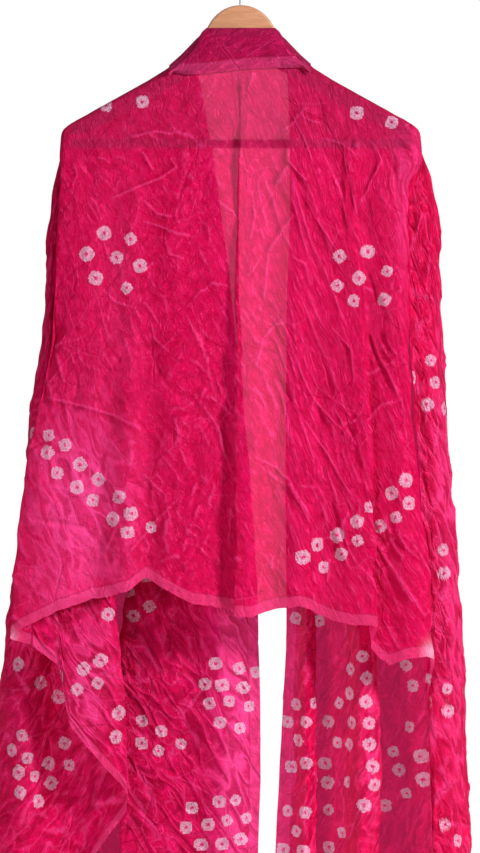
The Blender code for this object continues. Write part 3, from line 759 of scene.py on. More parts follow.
@dataclass(frozen=True)
class Crinkle:
    """Crushed look of the silk, repeatable from its seed: how far its wrinkles lean and how high they are."""

    seed: int
    lean: float = 0.0
    crush: float = 1.0
    size: int = 128

    def table(self, salt: int) -> np.ndarray:
        """A wrapping table of random numbers from 0 to 1."""
        return np.random.default_rng(self.seed * 97 + salt).uniform(0.0, 1.0, (self.size, self.size))

    def waves(self, u: np.ndarray, v: np.ndarray, salt: int) -> np.ndarray:
        """Make smooth noise.

        Args:
            u: First coordinate, in waves.
            v: Second coordinate, in waves.
            salt: Which table of random numbers to use.

        Returns:
            Noise from -1 to 1.
        """
        table = self.table(salt)
        i, j = np.floor(u).astype(int), np.floor(v).astype(int)
        f, g = smooth_step(u - i, 0, 1), smooth_step(v - j, 0, 1)
        i, j, i2, j2 = i % self.size, j % self.size, (i + 1) % self.size, (j + 1) % self.size
        low = table[i, j] * (1 - f) + table[i2, j] * f
        high = table[i, j2] * (1 - f) + table[i2, j2] * f
        return (low * (1 - g) + high * g) * 2 - 1

    def swell(self, ripple: Ripple, a: np.ndarray, b: np.ndarray) -> np.ndarray:
        """Soft waves of one layer."""
        return ripple.height * self.waves(a / ripple.wide, b / ripple.long, ripple.salt)

    def ridges(self, ripple: Ripple, a: np.ndarray, b: np.ndarray) -> np.ndarray:
        """Waves of one layer, folded sharply where they cross the middle."""
        return ripple.height * np.abs(self.waves(a / ripple.wide, b / ripple.long, ripple.salt))

    def facets(self, ripple: Ripple, a: np.ndarray, b: np.ndarray) -> np.ndarray:
        """Rise away from scattered points, with sharp ridges where two points are equally near.

        Args:
            ripple: The layer's height, spacing and table.
            a: Distance across the cloth.
            b: Distance down the cloth.

        Returns:
            The height at each place.
        """
        u, v = a / ripple.wide, b / ripple.long
        across, down = self.table(ripple.salt), self.table(ripple.salt + 1)
        i, j = np.floor(u).astype(int), np.floor(v).astype(int)
        nearest = np.full(u.shape, 9.0)
        for di in (-1, 0, 1):
            for dj in (-1, 0, 1):
                k, m = (i + di) % self.size, (j + dj) % self.size
                far = np.hypot(i + di + across[k, m] - u, j + dj + down[k, m] - v)
                nearest = np.minimum(nearest, far)
        return ripple.height * nearest

    def height(self, s: np.ndarray, t: np.ndarray) -> np.ndarray:
        """How far the crinkles move the cloth out.

        Args:
            s: Distance across the cloth.
            t: Distance down the cloth.

        Returns:
            The height at each place.
        """
        bend_s, bend_t = s, t
        for across, down in zip(BENDS_ACROSS, BENDS_DOWN):
            bend_s = bend_s + self.swell(across, s, t)
            bend_t = bend_t + self.swell(down, s, t)
        soft = self.swell(SWELLS[0], s, t) + self.swell(SWELLS[1], s, t)
        rough = smooth_step(self.swell(ROUGH_PARTS, s, t), -0.7, 0.6)
        drawn = smooth_step(self.swell(DRAWN_PARTS, s, t), -0.5, 0.5)
        lean = math.radians(self.lean)
        over = bend_s * math.cos(lean) + bend_t * math.sin(lean)
        down = bend_t * math.cos(lean) - bend_s * math.sin(lean)
        slanted = s + bend_t * (FINE_WRINKLES.wide / FINE_SLANT)
        fine = self.ridges(FINE_WRINKLES, slanted, t) * at_least(0.3, rough)
        small = self.facets(SMALL_FACETS, over, down) * at_least(0.35, rough)
        pleats = self.ridges(LONG_PLEATS, over, down) * at_least(0.25, drawn)
        pleats += self.ridges(SHORT_PLEATS, over, down) * at_least(0.3, rough)
        broad = self.facets(BROAD_FACETS, bend_s, bend_t)
        return soft + broad + self.crush * (small - fine - pleats) - CRINKLE_DROP

    def hem_drop(self, across: np.ndarray) -> np.ndarray:
        """How unevenly the hem hangs along its length."""
        return sum(height * self.waves(across / wide, across * 0, salt) for height, wide, salt in HEM_WAVES)


def crease_height(creases: Sequence[Crease], a: np.ndarray, b: np.ndarray) -> np.ndarray:
    """Add up soft ridges and troughs along creases.

    Args:
        creases: The creases, in the same plane as a and b.
        a: First coordinate of each place.
        b: Second coordinate of each place.

    Returns:
        The height at each place.
    """
    height = np.zeros(a.shape)
    for crease in creases:
        line = np.array(crease.line, float)
        reach = 4 * crease.width
        low, high = line.min(axis=0) - reach, line.max(axis=0) + reach
        near = (a > low[0]) & (a < high[0]) & (b > low[1]) & (b < high[1])
        if not near.any():
            continue
        spot = np.stack([a[near], b[near]], axis=-1)
        best = np.full(len(spot), 1e9)
        share = np.zeros(len(spot))
        for n, (start, end) in enumerate(zip(line, line[1:])):
            way = end - start
            f = np.clip(((spot - start) @ way) / (way @ way), 0, 1)
            far = np.linalg.norm(spot - start - f[:, None] * way, axis=1)
            closer = far < best
            best = np.where(closer, far, best)
            share = np.where(closer, (n + f) / (len(line) - 1), share)
        taper = np.sqrt(np.clip(4 * share * (1 - share), 0, 1))
        height[near] += crease.height * taper * np.exp(-best / crease.width)
    return height


class Shader:
    """A small helper that adds and joins a material's nodes."""

    def __init__(self, name: str) -> None:
        """Start an empty material.

        Args:
            name: The material's name.
        """
        self.material = bpy.data.materials.new(name)
        self.material.use_nodes = True
        self.tree = self.material.node_tree
        self.tree.nodes.clear()

    def feed(self, slot: Socket, value: Value) -> None:
        """Link a socket to an input, or set the input to a value.

        Args:
            slot: The input.
            value: An output of another node, a number or a colour.
        """
        if isinstance(value, bpy.types.NodeSocket):
            self.tree.links.new(value, slot)
        else:
            slot.default_value = value

    def add(
        self, kind: str, out: int | str = 0, settings: dict[str, object] | None = None, **inputs: Value,
    ) -> Socket:
        """Add a node.

        Args:
            kind: The node's type.
            out: The output to give back.
            settings: Settings of the node itself.
            **inputs: Values or sockets for its inputs, with _ for a space; in0 is the first input.

        Returns:
            The wanted output socket.
        """
        node = self.tree.nodes.new(kind)
        for key, value in (settings or {}).items():
            setattr(node, key, value)
        for key, value in inputs.items():
            numbered = key[:2] == "in" and key[2:].isdigit()
            self.feed(node.inputs[int(key[2:]) if numbered else key.replace("_", " ")], value)
        return node.outputs[out]

    def math(self, how: str, a: Value, b: Value = 0.0, clamp: bool = False) -> Socket:
        """Join two numbers in a named way."""
        return self.add("ShaderNodeMath", 0, {"operation": how, "use_clamp": clamp}, in0=a, in1=b)

    def plus(self, a: Value, b: Value, clamp: bool = False) -> Socket:
        """Add two numbers."""
        return self.math("ADD", a, b, clamp)

    def minus(self, a: Value, b: Value) -> Socket:
        """Take one number from another."""
        return self.math("SUBTRACT", a, b)

    def times(self, a: Value, b: Value, clamp: bool = False) -> Socket:
        """Multiply two numbers."""
        return self.math("MULTIPLY", a, b, clamp)

    def apart(self, a: Value, b: Value) -> Socket:
        """How far apart two numbers are."""
        return self.math("ABSOLUTE", self.minus(a, b))

    def between(self, value: Value, low: float, high: float, start: float = 0.0, end: float = 1.0) -> Socket:
        """Map a number smoothly from one span to another.

        Args:
            value: The number.
            low: Where the change starts.
            high: Where it ends; it may be under low.
            start: The result at low.
            end: The result at high.

        Returns:
            The mapped number.
        """
        smooth = {"interpolation_type": "SMOOTHSTEP"}
        return self.add("ShaderNodeMapRange", 0, smooth, in0=value, in1=low, in2=high, in3=start, in4=end)

    def mix(self, share: Value, first: Value, second: Value) -> Socket:
        """Mix two colours.

        Args:
            share: How much of the second there is.
            first: One colour.
            second: The other.

        Returns:
            The mixed colour.
        """
        node = self.tree.nodes.new("ShaderNodeMix")
        node.data_type = "RGBA"
        for slot, value in ((0, share), (6, first), (7, second)):
            self.feed(node.inputs[slot], value)
        return node.outputs[2]

    def layer(self, share: Value, first: Socket, second: Socket) -> Socket:
        """Mix two surfaces."""
        return self.add("ShaderNodeMixShader", in0=share, in1=first, in2=second)

    def mark(self, name: str, out: str = "Fac") -> Socket:
        """Read what the sheet carries at each place under that name."""
        return self.add("ShaderNodeAttribute", out, {"attribute_name": name})

    def noise(self, where: Socket, scale: float, detail: float, flat: bool = False, **more: Value) -> Socket:
        """Add cloudy noise.

        Args:
            where: The coordinates.
            scale: Clouds for each unit of them.
            detail: How many finer layers it has.
            flat: Whether it reads only the first two coordinates.
            **more: Other inputs of the noise.

        Returns:
            Its number, near 0.5 on average.
        """
        settings = {"noise_dimensions": "2D"} if flat else None
        return self.add("ShaderNodeTexNoise", 0, settings, Vector=where, Scale=scale, Detail=detail, **more)

    def turned(self, where: Socket, degrees: float, scale: tuple[float, float, float]) -> Socket:
        """Turn and stretch a flat map, so that a pattern on it leans.

        Args:
            where: The map.
            degrees: How far the pattern leans.
            scale: How long it is in each direction.

        Returns:
            The turned map.
        """
        turn, settings = (0.0, 0.0, -math.radians(degrees)), {"vector_type": "TEXTURE"}
        return self.add("ShaderNodeMapping", 0, settings, Vector=where, Scale=scale, Rotation=turn)

    def finish(self, surface: Socket) -> bpy.types.Material:
        """Join the surface to the output.

        Args:
            surface: The last surface.

        Returns:
            The finished material.
        """
        output = self.tree.nodes.new("ShaderNodeOutputMaterial")
        self.feed(output.inputs["Surface"], surface)
        return self.material


class SilkGuide(NamedTuple):
    """What the silk's parts read: its nodes, places, cloth map, hem, band, painted shade, dots and pleats."""

    sh: Shader
    where: Socket
    cloth: Socket
    edge: Socket
    band: Socket
    painted_shade: Socket
    dots: Socket
    pleat: Socket


@dataclass(frozen=True)
class SilkFinish:
    """Sheer crushed silk: dye, tied dots, hem and sheen.

    Each colour has its name from where it shows, and each share says how much of that colour there is; valley
    and shade are painted shade, and ridge is a painted highlight. Sheer is the share of clear cloth, through
    the share of light that shines through, and relief the height of the smallest wrinkles in metres. Drawn
    and contrast are how strongly the pleats show in relief and, as painted highlight and shade, in colour.
    """

    name: str
    lean: float
    deep: Colour = (0.54, 0.0005, 0.050, 1.0)
    bright: Colour = (0.70, 0.002, 0.085, 1.0)
    glow: Colour = (0.94, 0.008, 0.20, 1.0)
    # Valley is the colour of painted shade and ridge the colour of painted highlights
    valley: Colour = (0.33, 0.0005, 0.030, 1.0)
    ridge: Colour = (0.98, 0.070, 0.32, 1.0)
    gleam: Colour = (1.0, 0.11, 0.50, 1.0)
    # Shade is the colour of painted shade where wood lies behind and over the hanger
    shade: Colour = (0.26, 0.018, 0.065, 1.0)
    dot: Colour = (0.80, 0.47, 0.65, 1.0)
    hem: Colour = (0.86, 0.09, 0.30, 1.0)
    veil: Colour = (1.0, 0.92, 0.96, 1.0)
    sheer: float = 0.008
    through: float = 0.32
    relief: float = 0.0015
    drawn: float = 11.0
    contrast: float = 0.5
    # Shares of painted highlight on crests and crease lines, and of painted shade in troughs
    crest_share: float = 0.7
    trough_share: float = 0.3
    line_share: float = 0.45
    painted_highlight_share: float = 0.55
    hem_share: float = 0.34
    turned_share: float = 0.4
    pale_share: float = 0.75
    painted_shade_share: float = 0.5
    painted_shade_glow_share: float = 0.6
    gloss_share: float = 0.022
    closed_sheer: float = 0.35
    mottle_scale: float = 90.0
    dot_square: float = 0.36
    dot_circle: float = 0.56
    dot_edge: tuple[float, float] = (8.3, 7.1)
    dot_middle: tuple[float, float] = (0.9, 2.6)
    ragged_scale: float = 420.0
    ragged_size: float = 5.5
    streak_scale: float = 900.0
    weave_scale: float = 900.0
    wrinkle_scale: float = 150.0
    wrinkle_stretch: float = 2.4
    pleats_across: float = 78.0
    pleats_down: float = 21.0
    warp_scale: float = 30.0
    warp_reach: float = 0.012

    def make(self) -> bpy.types.Material:
        """Build the material.

        Returns:
            The finished material.
        """
        sh = Shader(self.name)
        where = sh.add("ShaderNodeTexCoord", "Object")
        cloth = sh.add("ShaderNodeUVMap", 0, {"uv_map": "cloth"})
        edge = sh.mark("edge")
        band = sh.between(edge, HEM_END[1], HEM_END[0])
        guide = SilkGuide(
            sh, where, cloth, edge, band, sh.mark("painted_shade"), self.dots(sh, where), self.pleat(sh, cloth),
        )
        bump = self.bump(guide)
        face = sh.add(
            "ShaderNodeBsdfPrincipled", Base_Color=self.dye(guide), Roughness=0.4, Normal=bump,
            Specular_IOR_Level=0.2, Specular_Tint=self.gleam,
            Sheen_Weight=0.06, Sheen_Roughness=0.35, Sheen_Tint=self.gleam,
        )
        gloss = sh.add("ShaderNodeBsdfAnisotropic", Color=self.gleam, Roughness=0.36, Normal=bump)
        # Painted shade in the light that shines through, where wood lies behind
        shone = sh.mix(sh.times(guide.painted_shade, self.painted_shade_glow_share), self.glow, self.shade)
        back = sh.add("ShaderNodeBsdfTranslucent", Color=sh.mix(guide.dots, shone, self.dot), Normal=bump)
        body = sh.layer(self.through, sh.layer(self.gloss_share, face, gloss), back)
        closed = sh.plus(sh.times(band, 0.6), guide.dots, clamp=True)
        gap = sh.between(closed, 0.0, 1.0, self.sheer, self.sheer * self.closed_sheer)
        clear = sh.add("ShaderNodeBsdfTransparent", Color=self.veil)
        sh.material.use_transparent_shadow = False
        return sh.finish(sh.layer(gap, body, clear))

    def dye(self, guide: SilkGuide) -> Socket:
        """Colour the face: mottled dye, painted highlights on ridges, crease lines and patches, painted shade
        in troughs, between pleats and over the wood, the hem, the paler corners and the dots.

        Args:
            guide: What the silk's parts read.

        Returns:
            The colour.
        """
        sh, pleat = guide.sh, guide.pleat
        mottle = sh.noise(guide.where, self.mottle_scale, 5.0, Roughness=0.7)
        # Painted highlights on sharp crests, crease lines and pleat ridges; painted shade in troughs and
        # between pleats
        crest = sh.mark("crest")
        lines = sh.times(self.creased(sh, guide.cloth, HIGHLIGHT_LINES), self.line_share)
        painted_highlight = sh.plus(sh.between(crest, 0.1, 1.0, 0.0, self.crest_share), lines, clamp=True)
        painted_highlight = sh.plus(painted_highlight, sh.between(pleat, 0.03, 0.0, 0.0, self.contrast), clamp=True)
        # Painted highlights at the patches, stronger on the pleats' ridges
        lit = sh.times(sh.mark("lit"), sh.between(pleat, 0.0, 0.16, 1.3, 0.5), clamp=True)
        turned = sh.between(sh.apart(guide.edge, HEM_WIDTH), 1.6, 0.6, 0.0, self.turned_share)
        colour = sh.mix(sh.between(mottle, 0.35, 0.68), self.deep, self.bright)
        for share, over in (
            (sh.between(crest, -0.1, -1.0, 0.0, self.trough_share), self.valley),
            (lit, self.ridge),
            (sh.between(pleat, 0.06, 0.16, 0.0, self.contrast), self.valley),
            (sh.times(painted_highlight, self.painted_highlight_share), self.ridge),
            (sh.times(guide.band, self.hem_share), self.hem),
            (turned, self.valley),
            (sh.times(sh.mark("pale"), self.pale_share), self.dot),
            # Painted shade where wood lies behind and over the hanger
            (sh.times(guide.painted_shade, self.painted_shade_share), self.shade),
            (guide.dots, self.dot),
        ):
            colour = sh.mix(share, colour, over)
        return colour

    def dots(self, sh: Shader, where: Socket) -> Socket:
        """Mark the tied dots: a ragged, streaky ring round a dyed middle.

        Args:
            sh: The material's nodes.
            where: The place on the object.

        Returns:
            The share of undyed cloth.
        """
        parts = sh.tree.nodes.new("ShaderNodeSeparateXYZ")
        sh.feed(parts.inputs[0], sh.mark("tie", "Vector"))
        across, down, near = parts.outputs
        square = sh.plus(sh.math("ABSOLUTE", across), sh.math("ABSOLUTE", down))
        circle = sh.math("SQRT", sh.plus(sh.math("POWER", across, 2.0), sh.math("POWER", down, 2.0)))
        size = sh.plus(sh.times(square, self.dot_square), sh.times(circle, self.dot_circle))
        ragged = sh.noise(where, self.ragged_scale, 2.0)
        size = sh.plus(size, sh.times(sh.minus(ragged, 0.5), self.ragged_size))
        ring = sh.times(sh.between(size, *self.dot_edge), sh.between(size, *self.dot_middle))
        streak = sh.noise(where, self.streak_scale, 3.0)
        ring = sh.times(ring, sh.between(streak, 0.34, 0.6, 0.25, 1.0))
        return sh.times(ring, sh.between(near, 0.75, 0.95))

    def pleat(self, sh: Shader, cloth: Socket) -> Socket:
        """Draw pleats that lean.

        Args:
            sh: The material's nodes.
            cloth: The cloth's map.

        Returns:
            0 on their sharp ridges, and more between them.
        """
        leaning = sh.turned(cloth, self.lean, (1 / self.pleats_across, 1 / self.pleats_down, 1.0))
        return sh.apart(sh.noise(leaning, 1.0, 1.5, True, Roughness=0.45, Distortion=0.6), 0.5)

    def bump(self, guide: SilkGuide) -> Socket:
        """Raise long and short creases, fine wrinkles, pleats, the weave and the hem's stitched fold.

        Args:
            guide: What the silk's parts read.

        Returns:
            The normal.
        """
        sh, cloth = guide.sh, guide.cloth
        flat = {"noise_dimensions": "2D"}
        warp = sh.add("ShaderNodeTexNoise", "Color", flat, Vector=cloth, Scale=self.warp_scale, Detail=1.0)
        reach, settings = (self.warp_reach, self.warp_reach, 0.0), {"operation": "MULTIPLY_ADD"}
        moved = sh.add("ShaderNodeVectorMath", 0, settings, in0=warp, in1=reach, in2=cloth)
        tall = sh.turned(moved, self.lean, (1.0, self.wrinkle_stretch, 1.0))
        wrinkle = sh.noise(tall, self.wrinkle_scale, 4.0, True, Roughness=0.62, Distortion=0.8)
        height: Value = 0.0
        for part, share in (
            (self.creased(sh, moved, LONG_LINES), 1.1),
            (self.creased(sh, moved, SHORT_LINES), 0.7),
            (sh.apart(wrinkle, 0.5), -5.0),
            (guide.pleat, -self.drawn),
            (sh.noise(cloth, self.weave_scale, 2.0, True), 0.16),
            (sh.between(guide.edge, 12.2, 14.4), -0.4),
            (guide.dots, 0.25),
        ):
            height = sh.plus(height, sh.times(part, share))
        return sh.add("ShaderNodeBump", Strength=0.8, Distance=self.relief, Height=height)

    def creased(self, sh: Shader, where: Socket, net: CreaseNet) -> Socket:
        """Draw straight sharp creases that meet in stars, with gaps.

        Args:
            sh: The material's nodes.
            where: The cloth's map.
            net: How many creases there are, how wide, and where they stop.

        Returns:
            1 on a crease and 0 away from it.
        """
        settings = {"feature": "DISTANCE_TO_EDGE", "voronoi_dimensions": "2D"}
        lines = sh.add("ShaderNodeTexVoronoi", "Distance", settings, Vector=where, Scale=net.scale)
        gaps = sh.noise(where, net.gap_scale, 1.0, True)
        return sh.times(sh.between(lines, net.width, 0.0), sh.between(gaps, net.least, net.least + 0.12))


@dataclass(frozen=True)
class WoodFinish:
    """Oiled pale wood with its grain along X."""

    name: str
    light: Colour = (0.50, 0.235, 0.125, 1.0)
    dark: Colour = (0.41, 0.180, 0.090, 1.0)
    stretch: tuple[float, float, float] = (7.0, 60.0, 60.0)

    def make(self) -> bpy.types.Material:
        """Build the material.

        Returns:
            The finished material.
        """
        sh = Shader(self.name)
        where = sh.add("ShaderNodeTexCoord", "Object")
        long = sh.add("ShaderNodeMapping", Vector=where, Scale=self.stretch)
        grain = sh.noise(long, 3.0, 6.0, Roughness=0.6, Distortion=0.6)
        both = sh.plus(sh.times(grain, 0.75), sh.times(sh.noise(long, 22.0, 3.0), 0.25))
        tone = sh.mix(sh.between(both, 0.38, 0.64), self.dark, self.light)
        bump = sh.add("ShaderNodeBump", Strength=0.2, Distance=0.0004, Height=both)
        return sh.finish(sh.add(
            "ShaderNodeBsdfPrincipled", Base_Color=tone, Roughness=0.45, Coat_Weight=0.15, Coat_Roughness=0.3,
            Normal=bump,
        ))


@dataclass(frozen=True)
class SteelFinish:
    """Plated wire."""

    name: str
    colour: Colour = (0.36, 0.36, 0.38, 1.0)

    def make(self) -> bpy.types.Material:
        """Build the material.

        Returns:
            The finished material.
        """
        sh = Shader(self.name)
        haze = sh.noise(sh.add("ShaderNodeTexCoord", "Object"), 300.0, 2.0)
        rough = sh.between(haze, 0.3, 0.7, 0.22, 0.36)
        return sh.finish(sh.add(
            "ShaderNodeBsdfPrincipled", Base_Color=self.colour, Metallic=1.0, Roughness=rough,
        ))


@dataclass
class Cloth:
    """One stretch of the silk: a grid of places, made into a sheet.

    Points has the columns across the cloth and the rows down it, and s and t are the distances across and
    down the cloth. Dots lie least_apart from each other, are found within dot_found of where the table puts
    them and reach dot_reach, and each pinches the cloth up. The hem stands hem_rise proud, and hem_calm of
    the crinkles is left there. Crowded and eased say how squeezed the columns are where crinkles start, and
    how much looser where they have their full height. Calm_top is the span under the arm's top over which
    they rise, and bite is how soon a bend counts as a sharp ridge.
    """

    name: str
    drape: Drape
    flat: tuple[float, float]
    crinkle: Crinkle
    silk: SilkFinish
    ties: Sequence[Tie] = ()
    patches: Sequence[Patch] = ()
    held: Held = Held.HUNG
    slot: Slot = Slot.SILK
    scatter: Scatter = Scatter()
    least_apart: float = 21.0
    dot_reach: float = 10.0
    dot_found: float = 4.0
    dot_uneven: float = 0.07
    dot_size: tuple[float, float] = (0.92, 1.25)
    dot_block: tuple[int, int] = (14, 10)
    no_dot: float = 30.0
    pinch_rise: float = 1.3
    pinch_reach: float = 3.2
    hem_rise: float = 0.8
    hem_calm: float = 0.45
    crowded: float = 0.12
    eased: float = 0.5
    calm_top: tuple[float, float] = (6.0, 75.0)
    bite: float = 6.0
    points: np.ndarray = field(default_factory=lambda: np.zeros(0))
    s: np.ndarray = field(default_factory=lambda: np.zeros(0))
    t: np.ndarray = field(default_factory=lambda: np.zeros(0))

    def lay_out(self) -> None:
        """Work out the smooth sheet; each kind of stretch has its own way."""
        raise NotImplementedError

    def edges(self) -> np.ndarray:
        """Distance of each place from the nearest turned hem."""
        raise NotImplementedError

    def measure(self, across: np.ndarray) -> None:
        """Measure the cloth across and down.

        Args:
            across: Distance of each column across the cloth.
        """
        steps = np.linalg.norm(np.diff(self.points, axis=1), axis=2)
        self.t = np.concatenate([np.zeros((len(steps), 1)), np.cumsum(steps, axis=1)], axis=1)
        self.s = np.repeat(across[:, None], self.t.shape[1], axis=1)

    def strength(self) -> np.ndarray:
        """Work out how strongly the crinkles show.

        Returns:
            A share for each place, less where the columns crowd and none on top of the arm.
        """
        crowd = np.linalg.norm(np.gradient(self.points, axis=0), axis=2)
        full = np.abs(np.gradient(self.s, axis=0)) + 1e-6
        room = np.clip((crowd / full - self.crowded) / self.eased, 0.0, 1.0)
        return room * smooth_step(self.t, *self.calm_top)

    def out(self) -> np.ndarray:
        """Find the way out of the cloth.

        Returns:
            A vector of length 1 for each place.
        """
        across, down = np.gradient(self.points, axis=0), np.gradient(self.points, axis=1)
        way = np.cross(across, down)
        return way / (np.linalg.norm(way, axis=2, keepdims=True) + 1e-9)

    def creases(self) -> np.ndarray:
        """Height of the scattered creases at each place."""
        strewn = self.scatter.strew(self.crinkle.seed, float(self.s.max()), float(self.t.max()))
        return crease_height(strewn, self.s, self.t)

    def tie_centres(self) -> list[tuple[int, int]]:
        """Find each dot's middle on the cloth.

        Returns:
            The column and row of the place nearest to each.
        """
        dice = np.random.default_rng(self.crinkle.seed * 17 + 5)
        centres: list[tuple[int, int]] = []
        x, y, depth = np.moveaxis(self.points, 2, 0)
        for tie in self.ties:
            turn = math.radians(tie.turn)
            for a, b in tie.motif.value:
                a, b = a + dice.normal(0, self.dot_uneven), b + dice.normal(0, self.dot_uneven)
                dot_x = tie.x + (a * math.cos(turn) - b * math.sin(turn)) * tie.step
                dot_depth = tie.depth + (a * math.sin(turn) + b * math.cos(turn)) * tie.step
                far = np.hypot(x - dot_x, depth - dot_depth)
                if far.min() > self.dot_found:
                    continue
                facing = np.where(far < self.dot_found, y * tie.side.value - far * 0.3, -1e9)
                i, j = np.unravel_index(np.argmax(facing), facing.shape)
                spot = self.points[i, j]
                if all(np.linalg.norm(spot - self.points[k, m]) > self.least_apart for k, m in centres):
                    centres.append((int(i), int(j)))
        return centres

    def tie_offsets(self, centres: Sequence[tuple[int, int]]) -> np.ndarray:
        """Measure the way from the nearest dot.

        Args:
            centres: The column and row of each dot's middle.

        Returns:
            At each place the distance across and down from that middle, and 1 where it is near.
        """
        best = np.full(self.s.shape, 1e9)
        offset = np.full(self.s.shape + (3,), self.no_dot)
        across, down = np.gradient(self.points, axis=0), np.gradient(self.points, axis=1)
        dice = np.random.default_rng(self.crinkle.seed * 19 + 2)
        wide, tall = self.dot_block
        for i, j in centres:
            block = (slice(max(i - wide, 0), i + wide + 1), slice(max(j - tall, 0), j + tall + 1))
            way = self.points[block] - self.points[i, j]
            lengthwise = down[i, j] / np.linalg.norm(down[i, j])
            crosswise = across[i, j] - (across[i, j] @ lengthwise) * lengthwise
            crosswise /= np.linalg.norm(crosswise)
            far = np.linalg.norm(way, axis=2)
            closer = far < best[block]
            best[block] = np.where(closer, far, best[block])
            turn, size = dice.uniform(0, math.pi), dice.uniform(*self.dot_size)
            a, b = way @ crosswise / size, way @ lengthwise / size
            found = np.stack([
                a * math.cos(turn) - b * math.sin(turn), a * math.sin(turn) + b * math.cos(turn), far,
            ], axis=-1)
            offset[block] = np.where(closer[..., None], found, offset[block])
        offset[..., 2] = best < self.dot_reach
        return offset

    def pale(self) -> np.ndarray:
        """How washed out the dye is at each place."""
        return np.zeros(self.s.shape)

    def lit(self) -> np.ndarray:
        """How much lighter the silk is painted as a highlight at its patches."""
        x, depth = self.points[..., 0], self.points[..., 2]
        return np.clip(sum((patch.glow(x, depth) for patch in self.patches), np.zeros(self.s.shape)), 0, 1)

    def painted_shade(self) -> np.ndarray:
        """Work out the painted shade where the wood lies behind the cloth.

        Returns:
            A share for each place.
        """
        x, y, depth = np.abs(self.points[..., 0]), self.points[..., 1], self.points[..., 2]
        arm = 1 - smooth_step(depth - depth_on(UNDERSIDE[::-1], x), -2.5, 2.5)
        bar = 1 - smooth_step(np.abs(depth - BAR_DEPTH), 4.5, 7.5)
        near_arm = 0.85 * arm * (1 - smooth_step(np.abs(y), 11.5, 16.0))
        near_bar = 0.8 * bar * (1 - smooth_step(np.abs(y), 16.0, 28.0))
        return np.maximum(near_arm, near_bar) * (1 - smooth_step(x, 207, 214))

    def crest(self, height: np.ndarray) -> np.ndarray:
        """Work out how sharply the crinkles bend.

        Args:
            height: How far they stand out.

        Returns:
            1 on a sharp ridge and -1 in a sharp trough.
        """
        bend = np.zeros(height.shape)
        for axis, distance in enumerate((self.s, self.t)):
            step = np.abs(np.gradient(distance, axis=axis)) + 1e-6
            bend += np.gradient(np.gradient(height, axis=axis) / step, axis=axis) / step
        return np.clip(-bend * self.bite, -1.0, 1.0)

    def raise_crinkles(self, offsets: np.ndarray) -> dict[str, np.ndarray]:
        """Move the smooth sheet out by its crinkles, creases, pinched dots and hems.

        Args:
            offsets: Vector from the nearest dot at each place.

        Returns:
            What the finish reads at each place, by name.
        """
        edge, strength = self.edges(), self.strength()
        away = np.hypot(offsets[..., 0], offsets[..., 1])
        pinch = self.pinch_rise * np.exp(-away / self.pinch_reach) * (offsets[..., 2] > 0)
        calm = self.hem_calm + (1 - self.hem_calm) * smooth_step(edge, 6.0, 26.0)
        height = self.crinkle.height(self.s, self.t) * calm + self.creases() + pinch
        hem = self.hem_rise * (1 - smooth_step(edge, *HEM_END)) * smooth_step(self.t, 6, 30)
        self.points = self.points + self.out() * (height * strength + hem)[..., None]
        # Sharp crests are painted as highlights and troughs as shade
        crest = self.crest(height) * strength
        return {"edge": edge, "pale": self.pale(), "painted_shade": self.painted_shade(), "crest": crest, "lit": self.lit()}

    def build(self) -> bpy.types.Object:
        """Returns:
            The finished piece.
        """
        self.lay_out()
        centres = self.tie_centres()
        offsets = self.tie_offsets(centres)
        piece = self.sheet(offsets, self.raise_crinkles(offsets))
        piece.data.materials.append(self.silk.make())
        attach(piece, "root")
        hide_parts(self.name)
        faces = piece.data.polygons
        area, whole = sum(face.area for face in faces), self.flat[0] * self.flat[1]
        LOG.info("%s: %d faces, %d dots, %.3f of %.3f m2", self.name, len(faces), len(centres), area, whole)
        return piece

    def sheet(self, offsets: np.ndarray, marks: dict[str, np.ndarray]) -> bpy.types.Object:
        """Make the grid into an object with its cloth map and its attributes.

        Args:
            offsets: Vector from the nearest dot at each place.
            marks: A number at each place for each named attribute.

        Returns:
            The new object.
        """
        columns, rows = self.s.shape
        grid = bmesh.new()
        bmesh.ops.create_grid(grid, x_segments=columns - 1, y_segments=rows - 1, size=1.0)
        grid.verts.ensure_lookup_table()
        spots = np.array([(v.co.x, v.co.y) for v in grid.verts])
        i = np.rint((spots[:, 0] + 1) / 2 * (columns - 1)).astype(int)
        j = np.rint((spots[:, 1] + 1) / 2 * (rows - 1)).astype(int)
        for vertex, place in zip(grid.verts, self.points[i, j] * (MM, MM, -MM)):
            vertex.co = place
        mesh = mesh_from(self.name + "_silk", grid)
        tie = mesh.attributes.new("tie", "FLOAT_VECTOR", "POINT")
        tie.data.foreach_set("vector", offsets[i, j].ravel().astype(np.float32))
        for name, values in marks.items():
            mark = mesh.attributes.new(name, "FLOAT", "POINT")
            mark.data.foreach_set("value", values[i, j].astype(np.float32))
        corners = np.empty(len(mesh.loops), int)
        mesh.loops.foreach_get("vertex_index", corners)
        flat = np.stack([self.s[i, j], -self.t[i, j]], axis=-1) * MM
        mesh.uv_layers.new(name="cloth").data.foreach_set("uv", flat[corners].ravel().astype(np.float32))
        return put_in_scene(self.name + "_silk", mesh)


@dataclass
class Hanging(Cloth):
    """A stretch between two places along the chain, from the top of the arm to the hem."""

    first: float = 0.0
    last: float = 1.0
    columns: int = 280
    rows: int = 330

    def lay_out(self) -> None:
        """Work out the smooth sheet from the fold lines."""
        at, across = self.drape.places(self.first, self.last, self.columns)
        drops = self.crinkle.hem_drop(across)
        self.points = np.array([self.drape.column(place, self.rows, drop) for place, drop in zip(at, drops)])
        self.measure(across)

    def edges(self) -> np.ndarray:
        """Measure the way from the lower hem and, on a fall, from the opening edge.

        Returns:
            The distance at each place.
        """
        far = np.minimum(self.t[:, -1:] - self.t, 60.0)
        if self.first == 0:
            far = np.minimum(far, self.s)
        if self.last == len(CHAIN) - 1:
            far = np.minimum(far, self.s.max() - self.s)
        return far


